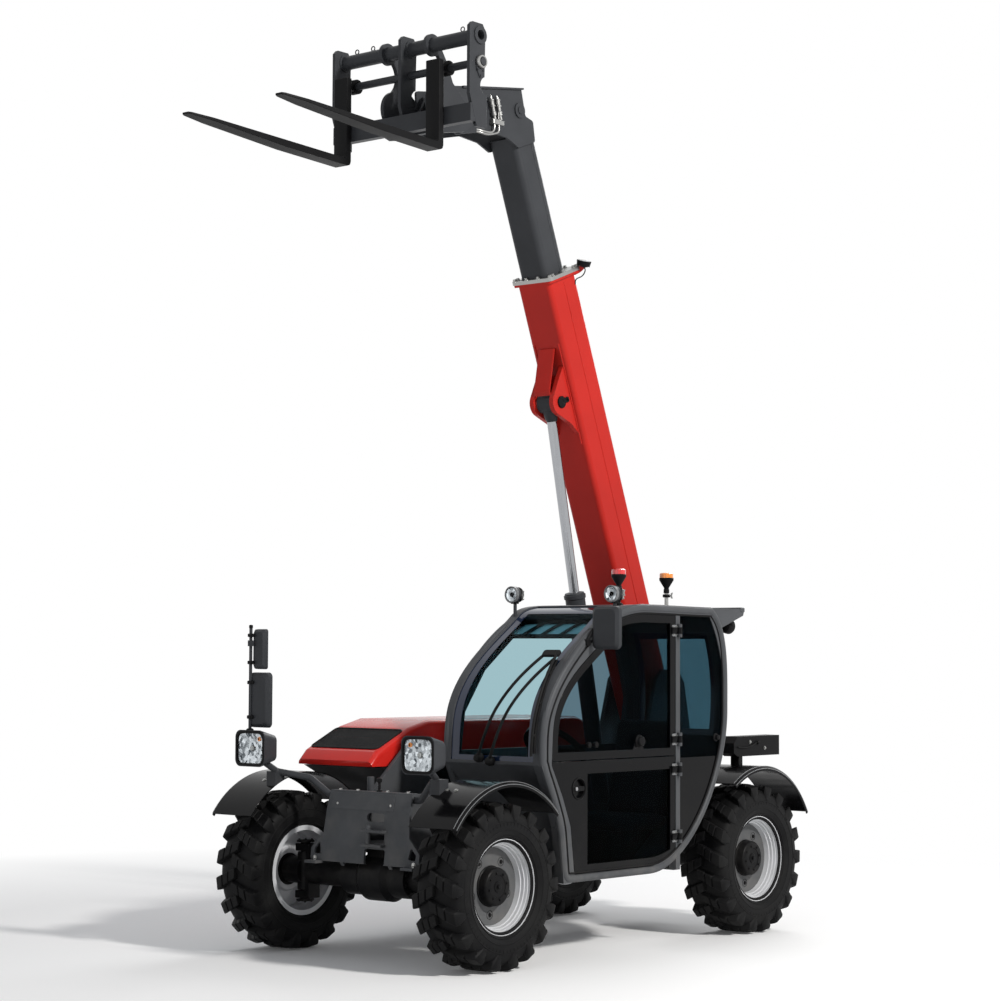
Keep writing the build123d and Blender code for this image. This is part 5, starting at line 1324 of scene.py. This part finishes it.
# Seat: a pedestal, and two padded cushions that the cloth solver fills
seat = {
    "pedestal": [(0.060, 0.463), (-0.090, 0.463), (-0.330, 0.640), (-0.330, 0.662), (0.060, 0.662)],
    "pedestalHalf": 0.185, "middle": (0.0, 0.515, 0.0), "voxel": 0.006, "crown": 0.010, "frames": 20,
    "pressure": 4.0,
    # each cushion as (side outline, half width)
    "seat_cushion": ([(-0.430, 0.664), (0.055, 0.664), (0.080, 0.700), (0.055, 0.742), (-0.370, 0.728),
                      (-0.430, 0.716)], 0.232),
    "seat_back_pad": ([(-0.495, 0.715), (-0.390, 0.715), (-0.455, 1.000), (-0.515, 1.275), (-0.585, 1.275),
                       (-0.592, 1.235), (-0.555, 0.980)], 0.218),
}


def applied(piece):  # the piece's mesh with its modifiers worked in
    return bpy.data.meshes.new_from_object(piece.evaluated_get(bpy.context.evaluated_depsgraph_get()))


def meshPoints(mesh):
    points = np.empty(len(mesh.vertices) * 3, np.float32)
    mesh.vertices.foreach_get("co", points)
    return points.reshape(-1, 3)


def puff(piece):
    # fills the cushion as cloth under pressure, then keeps each point within the crown of where it started
    remesh = piece.modifiers.new("even mesh", "REMESH")
    remesh.mode, remesh.voxel_size = "VOXEL", seat["voxel"]
    piece.data = applied(piece)
    piece.modifiers.clear()
    start = meshPoints(piece.data)
    cloth = piece.modifiers.new("fill", "CLOTH")
    cloth.settings.use_pressure = True
    cloth.settings.uniform_pressure_force = seat["pressure"]
    cloth.settings.effector_weights.gravity = 0.0
    for step in range(1, seat["frames"] + 1):
        bpy.context.scene.frame_set(step)
    move = meshPoints(applied(piece)) - start
    bpy.context.scene.frame_set(1)
    piece.modifiers.clear()
    far = np.linalg.norm(move, axis=1)[:, None]
    move *= np.minimum(1.0, seat["crown"] / np.maximum(far, 0.000001))
    piece.data.vertices.foreach_set("co", (start + move).ravel())
    piece.data.shade_smooth()
    piece.data.update()


def makeSeat():
    half, centre = seat["pedestalHalf"], seat["middle"]
    base = plate(rounded(seat["pedestal"], 0.02), centre, sideView, -half, half, 0.006)
    addPiece("seat_base", base, "seat_fabric", "chassis", materials["black_matte"], replaces=["seat"])
    for name in ("seat_cushion", "seat_back_pad"):
        outline, half = seat[name]
        pad = plate(rounded(outline, 0.03), centre, sideView, -half, half, 0.022)
        piece = addPiece(name, pad, "seat_fabric", "chassis")
        puff(piece)
        smooth = piece.modifiers.new("smooth", "SUBSURF")
        smooth.levels = smooth.render_levels = 1


makeSeat()
print("seat")


# Floor: pale near the machine, with a faint glow, and plain white further off
floorLook = {"size": 60.0, "tone": 0.94, "glow": 0.04, "near": 3.5, "far": 7.0}


def makeFloor():
    f = floorLook
    bpy.ops.mesh.primitive_plane_add(size=f["size"], location=(0, 0, 0))
    floor = bpy.context.object
    floor.name = "floor"
    s = Shader("pale floor")
    lit = s.surface(Base_Color=shade((f["tone"],) * 3), Roughness=0.9)
    glow, plain = (s.node("Emission", {}, {"Color": (1.0, 1.0, 1.0, 1.0), "Strength": strength})
                   for strength in (f["glow"], 1.0))
    near = s.node("AddShader", {}, {0: lit, 1: glow})
    away = s.node("VectorMath", {"operation": "LENGTH"}, {0: s.place()}, out=1)
    share = s.ramp(away, f["near"], f["far"])
    floor.data.materials.append(s.finish(s.node("MixShader", {}, {0: share, 1: near, 2: plain})))


# World: white to the camera, to glossy and to transmission rays, soft light to the rest
def makeWorld(softColour=(0.92, 0.95, 1.0, 1.0), soft=0.30):
    world = bpy.data.worlds.new("studio")
    bpy.context.scene.world = world
    world.use_nodes = True
    made, links = world.node_tree.nodes, world.node_tree.links
    made.clear()
    path = made.new("ShaderNodeLightPath")
    seen = path.outputs["Is Camera Ray"]
    for ray in ("Is Transmission Ray", "Is Glossy Ray"):
        either = made.new("ShaderNodeMath")
        either.operation = "MAXIMUM"
        links.new(seen, either.inputs[0])
        links.new(path.outputs[ray], either.inputs[1])
        seen = either.outputs[0]
    mix = made.new("ShaderNodeMixShader")
    links.new(seen, mix.inputs[0])
    for slot, colour, strength in ((1, softColour, soft), (2, (1.0, 1.0, 1.0, 1.0), 1.0)):
        sky = made.new("ShaderNodeBackground")
        sky.inputs["Color"].default_value = colour
        sky.inputs["Strength"].default_value = strength
        links.new(sky.outputs[0], mix.inputs[slot])
    links.new(mix.outputs[0], made.new("ShaderNodeOutputWorld").inputs[0])


def areaLamp(name, spot, aim, size, power, tint):
    data = bpy.data.lights.new(name, "AREA")
    data.shape = "RECTANGLE"
    data.size, data.size_y = size
    data.energy = power
    data.color = tint
    lamp = bpy.data.objects.new(name, data)
    lamp.location = spot
    lamp.rotation_euler = (Vector(aim) - Vector(spot)).to_track_quat("-Z", "Y").to_euler()
    bpy.context.scene.collection.objects.link(lamp)


makeFloor()
makeWorld()
areaLamp("key", (0.5, 10.5, 8.0), (0.0, 0.0, 1.8), (1.2, 1.0), 1350.0, (1.0, 0.98, 0.95))
areaLamp("fill", (10.0, 1.0, 3.0), (0.0, 0.0, 1.2), (6.0, 4.0), 40.0, (0.95, 0.97, 1.0))
areaLamp("back", (-8.0, -2.0, 7.0), (0.0, 0.0, 2.0), (5.0, 4.0), 350.0, (1.0, 1.0, 1.0))
bpy.context.scene.view_settings.view_transform = "Standard"
print("stage")
